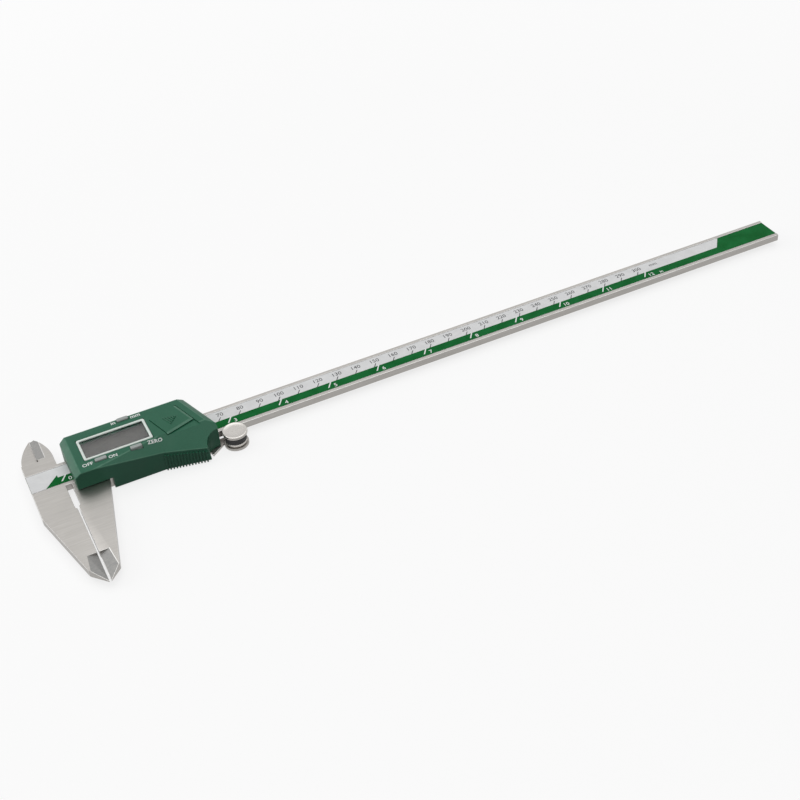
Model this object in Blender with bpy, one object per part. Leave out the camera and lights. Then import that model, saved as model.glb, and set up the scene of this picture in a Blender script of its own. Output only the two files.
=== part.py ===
"""Digital caliper for 300 mm: beam with fixed jaws, electronic slider, thumb roller and lock screw.

Caliper axes: x = 0 on the measuring face of the fixed outside jaw, +x to the tail; y = 0 on the
beam's centreline, the long jaws at -y; z = 0 on the beam's front rim, +z out of the display.
Slider pieces are placed from the moving measuring face, so their x is u = x - REST_OPENING.
"""
import math

import bmesh
import bpy
from mathutils import Vector

MM = 0.001

# Fits
SLIDE_FIT = 0.08 * MM
SEAT_GAP = 0.2 * MM
PART_GAP = 0.3 * MM
REST_OPENING = 0.9 * MM

# Beam, fixed head and the strip and label in its groove
BEAM_LENGTH = 388.0 * MM
BEAM_WIDTH = 16.0 * MM
BEAM_THICK = 3.5 * MM
HEAD_WIDTH = 15.5 * MM
HEAD_RISE = 6.2 * MM
GROOVE_WIDTH = 12.4 * MM
STRIP_THICK = 0.6 * MM
LABEL_THICK = 0.3 * MM
LABEL_SINK = 0.1 * MM

# Outside jaws, measured down from the beam's edge
JAW_DEPTH = 64.85 * MM
FIXED_SHOULDER = 16.6 * MM
FIXED_NOSE_WIDTH = 6.3 * MM
FIXED_NOSE_RISE = 8.85 * MM
FIXED_RELIEF = 0.8 * MM
MOVING_ROOT_WIDTH = 18.3 * MM
MOVING_NOSE_WIDTH = 5.8 * MM
MOVING_NOSE_RISE = 6.95 * MM
MOVING_RELIEF = 1.1 * MM
RELIEF_DEPTH = 16.2 * MM
KNIFE_DEPTH = 47.6 * MM
KNIFE_WIDTH = 4.4 * MM
KNIFE_CUT = 1.45 * MM

# Inside blades, one behind the other
BLADE_EDGE = 8.0 * MM
BLADE_ROOT_GAP = 0.5 * MM
BLADE_HEIGHT = 16.3 * MM
BLADE_THICK = 1.65 * MM
BLADE_BEVEL = 3.9 * MM
BLADE_BEVEL_CUT = 1.2 * MM
BLADE_CURVE = 0.7
BACK_BLADE_WIDTH = 8.0 * MM
BACK_BLADE_RISE = 1.0 * MM
BACK_BLADE_CURVE = 0.85

# Slider frame, gib and screws
FRAME_START = 4.9 * MM
RAIL_RISE = 0.1 * MM
LOWER_RAIL = 4.57 * MM
UPPER_RAIL = 3.2 * MM
WEB_THICK = 2.2 * MM
GIB_THICK = 1.54 * MM
GIB_INSET = 3.5 * MM
GIB_SCREW_RADIUS = 1.0 * MM
LOCK_SHANK_RADIUS = 1.5 * MM
LOCK_HEAD_RADIUS = 3.4 * MM
LOCK_HEAD_LENGTH = 5.4 * MM
LOCK_PLACE = 19.0 * MM
SCREW_HEAD_RADIUS = 1.6 * MM
SCREW_SHANK_RADIUS = 0.7 * MM
SCREW_HEAD = 1.1 * MM

# Housing
WALL = 1.6 * MM
HOUSING_START = 2.5 * MM
ROOF_THICK = 2.3 * MM
SKIRT_LIFT = 0.3 * MM
SIDE_BEVEL = 2.7 * MM
FAR_BEVEL = 1.7 * MM
BEVEL_DROP = 1.9 * MM
FACET_SLOPE = 0.625
FACET_START = 11.1 * MM
GRIP_START = 42.1 * MM
GRIP_DEPTH = 4.05 * MM
FLARE = 1.0 * MM
BOSS_RADIUS = 1.9 * MM

# Display, board and buttons
BEZEL_LENGTH = 32.0 * MM
BEZEL_WIDTH = 15.1 * MM
BEZEL_RIM = 1.2 * MM
BEZEL_START = 9.2 * MM
BEZEL_PROUD = 0.2 * MM
BEZEL_THICK = 0.55 * MM
LENS_THICK = 0.7 * MM
LCD_THICK = 1.6 * MM
BOARD_THICK = 1.0 * MM
ZEBRA_WIDTH = 1.6 * MM
BUTTON_LENGTH = 5.4 * MM
BUTTON_WIDTH = 2.2 * MM
BUTTON_PROUD = 0.7 * MM
BUTTON_TRAVEL = 0.4 * MM
DOME_HEIGHT = 0.6 * MM
DOME_RADIUS = 1.0 * MM

# Coin cell and its cover
CELL_RADIUS = 5.8 * MM
CELL_HEIGHT = 5.4 * MM
COVER_THICK = 0.8 * MM
COVER_PROUD = 0.3 * MM
COVER_LEDGE = 1.25 * MM
COVER_ANGLE = math.radians(18.0)

# Thumb roller
ROLLER_RADIUS = 5.75 * MM
ROLLER_LAP = 0.75 * MM
ROLLER_TOP_FLANGE = 1.6 * MM
ROLLER_PIN_RADIUS = 1.2 * MM
ROLLER_GAP = 1.4 * MM
ROLLER_ARM_THICK = 1.15 * MM

# Levels and lines that follow from the sizes above
EDGE = BEAM_WIDTH / 2
BACK = -BEAM_THICK
HEAD_TOP = EDGE + HEAD_RISE
JAW_TIP = -EDGE - JAW_DEPTH
BLADE_STEP = HEAD_TOP + 0.15 * MM
LABEL_TOP = -LABEL_SINK
LABEL_LOW = LABEL_TOP - LABEL_THICK
STRIP_TOP = LABEL_LOW - SEAT_GAP
GROOVE_FLOOR = STRIP_TOP - STRIP_THICK - SEAT_GAP
CHANNEL_LOW = -EDGE - SLIDE_FIT
CHANNEL_HIGH = EDGE + SLIDE_FIT + GIB_THICK + PART_GAP
WEB_TOP = BACK - PART_GAP
FRAME_BACK = WEB_TOP - WEB_THICK
RAIL_LOW = CHANNEL_LOW - LOWER_RAIL
RAIL_HIGH = CHANNEL_HIGH + UPPER_RAIL
RAIL_MIDDLE = (BACK + 0.0) / 2
FRONT_INNER = RAIL_LOW - PART_GAP
FAR_INNER = RAIL_HIGH + PART_GAP
FRONT_WALL = FRONT_INNER - WALL
FAR_WALL = FAR_INNER + WALL
SKIRT = FRAME_BACK + SKIRT_LIFT
ARM_TOP = FRAME_BACK + 0.05 * MM + ROLLER_ARM_THICK

BOARD_LOW = RAIL_RISE + 0.25 * MM
BOARD_TOP = BOARD_LOW + BOARD_THICK
CONTACT_TOP = BOARD_TOP + SEAT_GAP + 0.25 * MM
CELL_LOW = CONTACT_TOP + SEAT_GAP
CELL_TOP = CELL_LOW + CELL_HEIGHT
COVER_LOW = CELL_TOP + 1.0 * MM
COVER_TOP = COVER_LOW + COVER_THICK
TOP = COVER_TOP - COVER_PROUD
ROOF_LOW = TOP - ROOF_THICK
FRONT_ROOF = ROOF_LOW - 2.9 * MM

BEZEL_TOP = TOP + BEZEL_PROUD
BEZEL_LOW = BEZEL_TOP - BEZEL_THICK
LENS_TOP = BEZEL_LOW - SEAT_GAP
LENS_LOW = LENS_TOP - LENS_THICK
LCD_TOP = ROOF_LOW - PART_GAP
LCD_LOW = LCD_TOP - LCD_THICK
BEZEL_END = BEZEL_START + BEZEL_LENGTH
BEZEL_MIDDLE = (BEZEL_START + BEZEL_END) / 2
CREASE = -BEZEL_WIDTH / 2 + 0.25 * MM
BEZEL_Y = CREASE + BEZEL_WIDTH / 2 + 0.1 * MM

# Cover, right edge and scoop lean by the same angle
ALONG = Vector((math.sin(COVER_ANGLE), -math.cos(COVER_ANGLE)))
ACROSS = Vector((math.cos(COVER_ANGLE), math.sin(COVER_ANGLE)))
COVER_LONG = 2 * (CELL_RADIUS + COVER_LEDGE)
COVER_WIDE = COVER_LONG + 0.4 * MM
CELL_AT = Vector((BEZEL_END + COVER_WIDE / 2 * 1.2 + 2.4 * MM, 0.5 * MM))
RIGHT_AT_CENTRE = CELL_AT.x + COVER_WIDE / 2 + 6.8 * MM
GRIP_END = RIGHT_AT_CENTRE - 4.25 * MM
NOSE = Vector((RIGHT_AT_CENTRE + 3.2 * MM, FRONT_WALL + 2.15 * MM))
FACET_END = GRIP_START + 1.0 * MM

BUTTON_SPOTS = {
    "button_onoff": (BEZEL_MIDDLE - 9.2 * MM, CREASE - BUTTON_WIDTH),
    "button_zero": (BEZEL_MIDDLE + 7.2 * MM, CREASE - BUTTON_WIDTH),
    "button_unit": (BEZEL_MIDDLE + 7.3 * MM, FAR_INNER - BUTTON_WIDTH / 2 - 0.1 * MM),
}
SCREW_SPOTS = (
    (FRAME_START + 2.3 * MM, (RAIL_LOW + CHANNEL_LOW) / 2),
    (RIGHT_AT_CENTRE - 7.85 * MM, (RAIL_LOW + CHANNEL_LOW) / 2),
    (FRAME_START + 2.3 * MM, CHANNEL_HIGH + 1.2 * MM),
    (RIGHT_AT_CENTRE - 10.15 * MM, CHANNEL_HIGH + 1.2 * MM),
)
BOARD_START = SCREW_SPOTS[0][0] + BOSS_RADIUS + 0.8 * MM
BOARD_END = SCREW_SPOTS[3][0] - BOSS_RADIUS - 0.5 * MM
NOSE_END = NOSE.x + 0.3 * MM
ROLLER_AT = Vector((NOSE_END + ROLLER_GAP + ROLLER_RADIUS, -EDGE - ROLLER_RADIUS + ROLLER_LAP - 0.05 * MM))

# The origin is under the middle of the whole caliper, on the plane of the frame's back
MIDDLE_X = (BEAM_LENGTH - HEAD_WIDTH) / 2
MIDDLE_Y = (BLADE_STEP + BLADE_HEIGHT + BACK_BLADE_RISE + JAW_TIP) / 2


def clear_scene():
    """Start from an empty file."""
    for thing in list(bpy.data.objects):
        bpy.data.objects.remove(thing, do_unlink=True)


def empty(name, parent, place):
    """A bare frame that carries pieces."""
    frame = bpy.data.objects.new(name, None)
    frame.location = place
    frame.parent = parent
    bpy.context.collection.objects.link(frame)
    return frame


def finish(name, shape, parent, place, look):
    """Turn a bmesh into an object whose own origin is at place; look is colour, roughness, metallic."""
    bmesh.ops.recalc_face_normals(shape, faces=shape.faces)
    bmesh.ops.translate(shape, verts=shape.verts, vec=-Vector(place))
    mesh = bpy.data.meshes.new(name)
    shape.to_mesh(mesh)
    shape.free()
    piece = bpy.data.objects.new(name, mesh)
    piece.location = place
    piece.parent = parent
    bpy.context.collection.objects.link(piece)
    if look:
        colour, roughness, metallic = look
        material = bpy.data.materials.new(name)
        material.use_nodes = True
        surface = material.node_tree.nodes["Principled BSDF"]
        surface.inputs["Base Color"].default_value = (*colour, 1.0)
        surface.inputs["Roughness"].default_value = roughness
        surface.inputs["Metallic"].default_value = metallic
        mesh.materials.append(material)
    return piece


def prism(name, outline, low, high, parent, look=None, place=(0, 0, 0)):
    """A flat outline in x and y, carried from level low to level high."""
    shape = bmesh.new()
    rings = [[shape.verts.new((x, y, z)) for x, y in outline] for z in (low, high)]
    for ring in rings:
        shape.faces.new(ring)
    for i in range(len(outline)):
        j = (i + 1) % len(outline)
        shape.faces.new((rings[0][i], rings[0][j], rings[1][j], rings[1][i]))
    return finish(name, shape, parent, place, look)


def box(name, across, deep, high, parent, look=None):
    """A block between two values of x, of y and of z."""
    (x0, x1), (y0, y1) = across, deep
    return prism(name, [(x0, y0), (x1, y0), (x1, y1), (x0, y1)], *high, parent, look)


def turned(name, profile, axis_at, parent, look=None, steps=28, along="Z"):
    """A profile of radius and height, turned about an axis along Z or Y through axis_at."""
    shape = bmesh.new()
    centre = Vector(axis_at)
    rings = []
    for radius, height in profile:
        count = steps if radius > 0 else 1
        ring = []
        for step in range(count):
            angle = 2 * math.pi * step / steps
            a, b = radius * math.cos(angle), radius * math.sin(angle)
            spoke = (a, b, height) if along == "Z" else (a, height, b)
            ring.append(shape.verts.new(centre + Vector(spoke)))
        rings.append(ring)
    for one, two in zip(rings, rings[1:]):
        for step in range(steps):
            after = (step + 1) % steps
            corners = [one[step % len(one)], one[after % len(one)],
                       two[after % len(two)], two[step % len(two)]]
            shape.faces.new(list(dict.fromkeys(corners)))
    return finish(name, shape, parent, centre, look)


def rod(name, radius, low, high, axis_at, parent, look=None, steps=24, along="Z"):
    """A plain round bar between two heights on its axis."""
    profile = [(0, low), (radius, low), (radius, high), (0, high)]
    return turned(name, profile, axis_at, parent, look, steps, along)


def wedge(name, outer, inner, levels, parent):
    """A bevel cutter: its sloped face runs from the outer line down to the inner line.

    outer holds two (x, y) on the face, inner two x beyond the edge at the same y,
    levels are the face, the depth at inner for each end, and a level clear of the face.
    """
    face, depths, clear = levels
    shape = bmesh.new()
    ends = []
    for (x, y), far, depth in zip(outer, inner, depths):
        ends.append([shape.verts.new((x, y, face)), shape.verts.new((far, y, depth)),
                     shape.verts.new((far, y, clear)), shape.verts.new((x, y, clear))])
    for end in ends:
        shape.faces.new(end)
    for i in range(4):
        j = (i + 1) % 4
        shape.faces.new((ends[0][i], ends[0][j], ends[1][j], ends[1][i]))
    return finish(name, shape, parent, (0, 0, 0), None)


def combine(piece, operation, *tools):
    """Boolean each tool with the piece; the tools themselves stay out of the part."""
    for tool in tools:
        step = piece.modifiers.new(tool.name, "BOOLEAN")
        step.operation = operation
        step.solver = "EXACT"
        step.object = tool
        tool.hide_render = True
        tool.display_type = "WIRE"


def knife_cuts(name, side, nose, parent):
    """The two bevels that thin an outside jaw's tip; side is -1 for the fixed jaw, 1 for the moving."""
    start = -EDGE - KNIFE_DEPTH
    end = JAW_TIP - 2 * MM
    lean = (nose - KNIFE_WIDTH) / (start - JAW_TIP)
    widths = (KNIFE_WIDTH, KNIFE_WIDTH + lean * (start - end))
    outer = [(side * widths[0], start), (side * widths[1], end)]
    inner = [-side * MM, -side * MM]
    depths = [KNIFE_CUT * (width + MM) / width for width in widths]
    front = wedge(name + "_front", outer, inner, (0, [-d for d in depths], MM), parent)
    behind = wedge(name + "_behind", outer, inner,
                   (BACK, [BACK + d for d in depths], BACK - MM), parent)
    return front, behind


def blade_curve(edge, width, start, height, curve, side):
    """Points of a blade's curved flank, from its root up to its blunt tip."""
    shares = [step / 8 for step in range(9)]
    return [(edge + side * width * (1 - curve * t * t), start + height * t) for t in shares]


def right_edge(y):
    """The slider's slanted right edge, as u at a given y."""
    return RIGHT_AT_CENTRE - math.tan(COVER_ANGLE) * y


def turned_rectangle(centre, wide, long, ahead=0.0):
    """A rectangle leaning with the cover; ahead lengthens its front."""
    back = centre - ALONG * long / 2
    front = centre + ALONG * (long / 2 + ahead)
    half = ACROSS * wide / 2
    return [tuple(back - half), tuple(front - half), tuple(front + half), tuple(back + half)]


def centred_box(name, middle, size, high, parent, look=None):
    """A block about a middle point in plan."""
    (x, y), (length, width) = middle, size
    return box(name, (x - length / 2, x + length / 2), (y - width / 2, y + width / 2),
               high, parent, look)


STEEL = ((0.55, 0.54, 0.52), 0.32, 1.0)
BRIGHT = ((0.72, 0.71, 0.69), 0.22, 1.0)
SCREW = ((0.35, 0.35, 0.36), 0.35, 1.0)
GREEN = ((0.035, 0.13, 0.075), 0.42, 0.0)
LABEL = ((0.02, 0.19, 0.05), 0.4, 0.0)
WHITE = ((0.76, 0.82, 0.78), 0.35, 0.0)
GREY = ((0.5, 0.52, 0.52), 0.4, 0.0)
BOARD = ((0.02, 0.16, 0.06), 0.5, 0.0)
BLACK = ((0.02, 0.02, 0.022), 0.55, 0.0)
GLASS = ((0.14, 0.14, 0.13), 0.12, 0.0)
LENS = ((0.3, 0.32, 0.3), 0.08, 0.0)
GOLD = ((0.8, 0.6, 0.25), 0.3, 1.0)

clear_scene()
root = empty("caliper", None, (-MIDDLE_X, -MIDDLE_Y, -FRAME_BACK))
slider = empty("slider", root, (REST_OPENING, 0, 0))

# Beam: one outline at full thickness, then groove, thin blade, bevels and relief hole
nose_y = JAW_TIP + FIXED_NOSE_RISE
relief_y = -EDGE - RELIEF_DEPTH
blade_width = BLADE_EDGE - BLADE_ROOT_GAP
flank = blade_curve(-BLADE_EDGE, blade_width, HEAD_TOP, BLADE_HEIGHT, BLADE_CURVE, 1)
beam_outline = [
    (BEAM_LENGTH, -EDGE), (BEAM_LENGTH, EDGE), (-BLADE_ROOT_GAP, EDGE), *flank,
    (-BLADE_EDGE, HEAD_TOP + BLADE_HEIGHT - 0.3 * MM), (-BLADE_EDGE, HEAD_TOP),
    (-HEAD_WIDTH, HEAD_TOP), (-HEAD_WIDTH, -EDGE - FIXED_SHOULDER), (-FIXED_NOSE_WIDTH, nose_y),
    (0, JAW_TIP), (0, relief_y - 1.3 * MM), (-FIXED_RELIEF, relief_y), (-FIXED_RELIEF, -EDGE),
]
beam = prism("beam", beam_outline, BACK, 0, root, STEEL)
blade_top = HEAD_TOP + BLADE_HEIGHT + 2 * MM
bevel_slope = BLADE_BEVEL_CUT / BLADE_BEVEL
combine(
    beam, "DIFFERENCE",
    box("cut_groove", (-HEAD_WIDTH - MM, BEAM_LENGTH + MM), (-GROOVE_WIDTH / 2, GROOVE_WIDTH / 2),
        (GROOVE_FLOOR, MM), root),
    box("cut_blade", (-BLADE_EDGE - MM, MM), (BLADE_STEP, blade_top), (BACK - MM, -BLADE_THICK), root),
    wedge("cut_blade_bevel",
          [(BLADE_BEVEL - BLADE_EDGE, HEAD_TOP + 1.2 * MM), (BLADE_BEVEL - BLADE_EDGE, blade_top)],
          [-BLADE_EDGE - MM] * 2, (0, [-BLADE_BEVEL_CUT - bevel_slope * MM] * 2, MM), root),
    rod("cut_relief_hole", 0.7 * MM, BACK - MM, MM, (-BLADE_EDGE, HEAD_TOP + 0.35 * MM, 0), root,
        steps=16),
    *knife_cuts("cut_fixed_knife", -1, FIXED_NOSE_WIDTH, root),
)
strip_ends = (-HEAD_WIDTH + 0.1 * MM, BEAM_LENGTH - 0.1 * MM)
box("scale_strip", strip_ends, (-GROOVE_WIDTH / 2 + PART_GAP, GROOVE_WIDTH / 2 - PART_GAP),
    (STRIP_TOP - STRIP_THICK, STRIP_TOP), root, BOARD)
box("scale_label", strip_ends, (-GROOVE_WIDTH / 2 + SEAT_GAP, GROOVE_WIDTH / 2 - SEAT_GAP),
    (LABEL_LOW, LABEL_TOP), root, LABEL)

# Slider frame: channel block, outside jaw, arm with the rear blade, and roller arm
frame_right = right_edge(0) - 5.35 * MM
far_right = right_edge(RAIL_HIGH) - 3.4 * MM
frame_outline = [(FRAME_START, RAIL_LOW), (frame_right, RAIL_LOW),
                 (far_right, RAIL_HIGH), (FRAME_START, RAIL_HIGH)]
frame = prism("slider_frame", frame_outline, FRAME_BACK, RAIL_RISE, slider, STEEL)
jaw_top = CHANNEL_LOW - 0.02 * MM
jaw_outline = [
    (MOVING_RELIEF, jaw_top), (MOVING_RELIEF, relief_y + MOVING_RELIEF), (0, relief_y), (0, JAW_TIP),
    (MOVING_NOSE_WIDTH, JAW_TIP + MOVING_NOSE_RISE), (MOVING_ROOT_WIDTH, jaw_top),
]
blade_low = HEAD_TOP - 1.6 * MM
rear_height = BLADE_STEP + BLADE_HEIGHT + BACK_BLADE_RISE - HEAD_TOP
rear_flank = blade_curve(-BLADE_EDGE, BACK_BLADE_WIDTH, HEAD_TOP, rear_height, BACK_BLADE_CURVE, -1)
blade_outline = [
    (FRAME_START + MM, -EDGE / 2), (FRAME_START + MM, blade_low), (-BLADE_EDGE, blade_low),
    (-BLADE_EDGE, HEAD_TOP + rear_height), *reversed(rear_flank),
    (-BLADE_EDGE - BACK_BLADE_WIDTH, -EDGE / 2),
]
blade_back = FRAME_BACK + 0.1 * MM
blade_front = -BLADE_THICK - SEAT_GAP
pad = [(ROLLER_AT.x + ROLLER_RADIUS * math.cos(a), ROLLER_AT.y + ROLLER_RADIUS * math.sin(a))
       for a in (math.radians(90 - 15 * step) for step in range(20))]
scoop_y = FRONT_WALL - GRIP_DEPTH
roller_outline = [
    (frame_right - 9 * MM, CHANNEL_LOW - 0.6 * MM), *pad,
    (GRIP_END + 2.3 * MM, scoop_y + 1.85 * MM), (GRIP_END + 1.8 * MM, RAIL_LOW - 1.5 * MM),
    (GRIP_END + 0.3 * MM, RAIL_LOW + 0.2 * MM), (frame_right - 9 * MM, RAIL_LOW + 0.4 * MM),
]
combine(
    frame, "UNION",
    prism("add_jaw", jaw_outline, BACK, 0, slider),
    prism("add_blade", blade_outline, blade_back, blade_front, slider),
    prism("add_roller_arm", roller_outline, FRAME_BACK + 0.05 * MM, ARM_TOP, slider),
)
rear_slope = 0.72
combine(
    frame, "DIFFERENCE",
    box("cut_channel", (-30 * MM, ROLLER_AT.x), (CHANNEL_LOW, CHANNEL_HIGH), (WEB_TOP, 3 * MM), slider),
    box("cut_behind_head", (-30 * MM, FRAME_START + PART_GAP),
        (CHANNEL_HIGH - MM, BLADE_STEP + PART_GAP), (WEB_TOP - 0.05 * MM, 3 * MM), slider),
    wedge("cut_rear_bevel",
          [(-BLADE_EDGE - BLADE_BEVEL, BLADE_STEP + MM), (-BLADE_EDGE - BLADE_BEVEL, blade_top + 3 * MM)],
          [-BLADE_EDGE + MM] * 2,
          (blade_back, [blade_back + rear_slope * (BLADE_BEVEL + MM)] * 2, blade_back - MM), slider),
    *knife_cuts("cut_moving_knife", 1, MOVING_NOSE_WIDTH, slider),
)
for number, (u, y) in enumerate(SCREW_SPOTS, 1):
    hole = [(0, FRAME_BACK - MM), (SCREW_HEAD_RADIUS + SEAT_GAP, FRAME_BACK - MM),
            (SCREW_HEAD_RADIUS + SEAT_GAP, FRAME_BACK + SCREW_HEAD + 0.4 * MM),
            (SCREW_SHANK_RADIUS + SEAT_GAP, FRAME_BACK + SCREW_HEAD + 0.4 * MM),
            (SCREW_SHANK_RADIUS + SEAT_GAP, MM), (0, MM)]
    combine(frame, "DIFFERENCE", turned(f"cut_screw_{number}", hole, (u, y, 0), slider, steps=20))

# Gib with its set screws, lock screw and roller pin
gib_span = (FRAME_START + GIB_INSET, far_right - GIB_INSET)
gib_high = (BACK + SEAT_GAP, -PART_GAP)
box("gib_strip", gib_span, (EDGE + SLIDE_FIT, EDGE + SLIDE_FIT + GIB_THICK), gib_high, slider, GOLD)
screw_in = (CHANNEL_HIGH - 0.1 * MM, RAIL_HIGH - SEAT_GAP)
for number, u in enumerate((LOCK_PLACE - 7 * MM, gib_span[1] - 8 * MM), 1):
    spot = (u, 0, RAIL_MIDDLE)
    rod(f"gib_screw_{number}", GIB_SCREW_RADIUS, *screw_in, spot, slider, SCREW, 20, "Y")
    bore = GIB_SCREW_RADIUS + SEAT_GAP
    combine(frame, "DIFFERENCE", rod(f"cut_gib_screw_{number}", bore, CHANNEL_HIGH - MM, RAIL_HIGH + MM,
                                     spot, slider, None, 20, "Y"))
lock_at = (LOCK_PLACE, 0, RAIL_MIDDLE)
head_low = FAR_WALL + PART_GAP
lock_profile = [
    (0, screw_in[0]), (LOCK_SHANK_RADIUS, screw_in[0]), (LOCK_SHANK_RADIUS, head_low),
    (LOCK_HEAD_RADIUS - 0.4 * MM, head_low), (LOCK_HEAD_RADIUS, head_low + 0.4 * MM),
    (LOCK_HEAD_RADIUS, head_low + LOCK_HEAD_LENGTH - 0.4 * MM),
    (LOCK_HEAD_RADIUS - 0.4 * MM, head_low + LOCK_HEAD_LENGTH), (0, head_low + LOCK_HEAD_LENGTH),
]
turned("lock_screw", lock_profile, lock_at, slider, BRIGHT, 28, "Y")
lock_bore = LOCK_SHANK_RADIUS + SEAT_GAP
combine(frame, "DIFFERENCE", rod("cut_lock_frame", lock_bore, CHANNEL_HIGH - MM, RAIL_HIGH + MM,
                                 lock_at, slider, None, 24, "Y"))
pin_at = (*ROLLER_AT, 0)
pin_top = 0.2 * MM
combine(frame, "DIFFERENCE", rod("cut_pin", ROLLER_PIN_RADIUS + SEAT_GAP, FRAME_BACK - MM, ARM_TOP + 0.2 * MM,
                                 pin_at, slider))
rod("roller_pin", ROLLER_PIN_RADIUS, FRAME_BACK + 0.1 * MM, pin_top, pin_at, slider, SCREW)

# Thumb roller: a spool whose neck runs on the beam's edge
neck = ROLLER_RADIUS - ROLLER_LAP
flange_low = 0.35 * MM
roller_low = ARM_TOP + SEAT_GAP
bore = ROLLER_PIN_RADIUS + SLIDE_FIT
roller_profile = [
    (bore, roller_low), (neck, roller_low), (neck, flange_low), (ROLLER_RADIUS, flange_low),
    (ROLLER_RADIUS, flange_low + ROLLER_TOP_FLANGE - 0.2 * MM),
    (ROLLER_RADIUS - 0.3 * MM, flange_low + ROLLER_TOP_FLANGE), (0, flange_low + ROLLER_TOP_FLANGE),
    (0, pin_top + SEAT_GAP), (bore, pin_top + SEAT_GAP),
]


def roller(profile):
    """The spool with its blind bore, built ring by ring so the bore closes on the outer wall."""
    shape = bmesh.new()
    steps = 40
    rings = []
    for radius, height in profile:
        count = steps if radius > 0 else 1
        rings.append([shape.verts.new((ROLLER_AT.x + radius * math.cos(2 * math.pi * s / steps),
                                       ROLLER_AT.y + radius * math.sin(2 * math.pi * s / steps), height))
                      for s in range(count)])
    pairs = [(a, b) for a, b in zip(rings, rings[1:]) if len(a) + len(b) > 2] + [(rings[-1], rings[0])]
    for one, two in pairs:
        for s in range(steps):
            t = (s + 1) % steps
            corners = [one[s % len(one)], one[t % len(one)], two[t % len(two)], two[s % len(two)]]
            shape.faces.new(list(dict.fromkeys(corners)))
    return finish("thumb_roller", shape, slider, pin_at, BRIGHT)


roller(roller_profile)


# Housing: a faceted cover, hollowed and opened for the beam, jaw, display, buttons and cell
def housing_body():
    """The cover's outside as flat faces: roof, three side bevels, two front facets and the walls."""
    shape = bmesh.new()

    def facet(y):
        return TOP - FACET_SLOPE * (CREASE - y)

    def point(u, y, z):
        return shape.verts.new((u, y, z))

    bevel_low = TOP - BEVEL_DROP
    right_drop = 1.4 * MM
    nose_y = CREASE - right_drop / FACET_SLOPE
    inset = 2.75 * MM / math.cos(COVER_ANGLE)
    roof_y = FAR_WALL - FAR_BEVEL
    left = HOUSING_START + SIDE_BEVEL
    a = point(left, FRONT_WALL, TOP)
    b = point(FACET_START, FRONT_WALL, TOP)
    c = point(FACET_END, CREASE, TOP)
    d = point(right_edge(CREASE) - inset, CREASE, TOP)
    e = point(right_edge(roof_y) - inset, roof_y, TOP)
    f = point(left, roof_y, TOP)
    g = point(FACET_END, FRONT_WALL, facet(FRONT_WALL))
    grip_y = FRONT_WALL - GRIP_DEPTH
    scoop_wide = NOSE.x - GRIP_END
    scoop = []
    for step in range(7):
        angle = math.pi / 2 * step / 6
        y = grip_y + (NOSE.y - grip_y) * math.sin(angle)
        scoop.append(point(NOSE.x - scoop_wide * math.cos(angle), y, facet(y)))
    tip_y = NOSE.y + 1.0 * MM
    tip = point(NOSE_END, tip_y, facet(tip_y))
    n = point(right_edge(nose_y), nose_y, TOP - right_drop)
    far_y = roof_y - 0.1 * MM
    r = point(right_edge(far_y), far_y, TOP - right_drop)
    s = point(right_edge(FAR_WALL) - 2.1 * MM, FAR_WALL, bevel_low)
    h = point(left, FAR_WALL, bevel_low)
    k = point(HOUSING_START, FAR_WALL - 2.6 * MM, bevel_low)
    m = point(HOUSING_START, FRONT_WALL, bevel_low)
    for corners in ((a, b, c, d, e, f), (b, g, c), (c, g, *scoop, tip, n, d), (d, n, r, e),
                    (e, r, s), (e, s, h, f), (f, h, k), (f, k, m, a)):
        shape.faces.new(corners)
    rim = [m, a, b, g, *scoop, tip, n, r, s, h, k]
    base = [point(v.co.x + (FLARE if v is scoop[0] else 0), v.co.y, SKIRT) for v in rim]
    for i in range(len(rim)):
        j = (i + 1) % len(rim)
        shape.faces.new((base[i], base[j], rim[j], rim[i]))
    shape.faces.new(base)
    return finish("upper_housing", shape, slider, (0, 0, 0), GREEN)


housing = housing_body()
below = SKIRT - 4 * MM
inner_left = HOUSING_START + WALL + 0.5 * MM
inner_right = right_edge(0) - 3.0 * MM
lean = math.tan(COVER_ANGLE)
strip_top = CREASE + 0.2 * MM
passage = (-EDGE - 0.4 * MM, EDGE + 0.4 * MM)
jaw_right = MOVING_ROOT_WIDTH + 0.2 * MM
combine(
    housing, "DIFFERENCE",
    prism("cut_inside", [(inner_left, strip_top), (inner_right - lean * strip_top, strip_top),
                         (inner_right - lean * FAR_INNER, FAR_INNER), (inner_left, FAR_INNER)],
          below, ROOF_LOW, slider),
    box("cut_front_strip", (inner_left, GRIP_END - 0.1 * MM), (FRONT_INNER, strip_top + 0.1 * MM),
        (below - MM, FRONT_ROOF), slider),
    box("cut_beam_passage", (-5 * MM, RIGHT_AT_CENTRE + 15 * MM), passage, (below + MM, PART_GAP), slider),
    box("cut_jaw_notch", (-6 * MM, jaw_right), (FRONT_WALL - 8 * MM, passage[0] + MM),
        (below + 1.5 * MM, PART_GAP + 0.02 * MM), slider),
    box("cut_blade_notch", (-6 * MM, inner_left + 0.2 * MM), (passage[1] - MM, FAR_WALL + 3 * MM),
        (below + 2 * MM, WEB_TOP + PART_GAP), slider),
    prism("cut_roller_notch",
          [(GRIP_END - 0.15 * MM, passage[0] + 2 * MM), (GRIP_END - 0.15 * MM, RAIL_LOW - 0.4 * MM),
           (GRIP_END + 1.4 * MM, RAIL_LOW - 1.8 * MM), (GRIP_END + 1.4 * MM, scoop_y - 5 * MM),
           (RIGHT_AT_CENTRE + 16 * MM, scoop_y - 5 * MM), (RIGHT_AT_CENTRE + 16 * MM, passage[0] + 2 * MM)],
          below + 2.5 * MM, ARM_TOP + PART_GAP, slider),
    rod("cut_lock_wall", lock_bore + 0.1 * MM, FAR_INNER - MM, FAR_WALL + MM, lock_at, slider, None, 24, "Y"),
)
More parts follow.
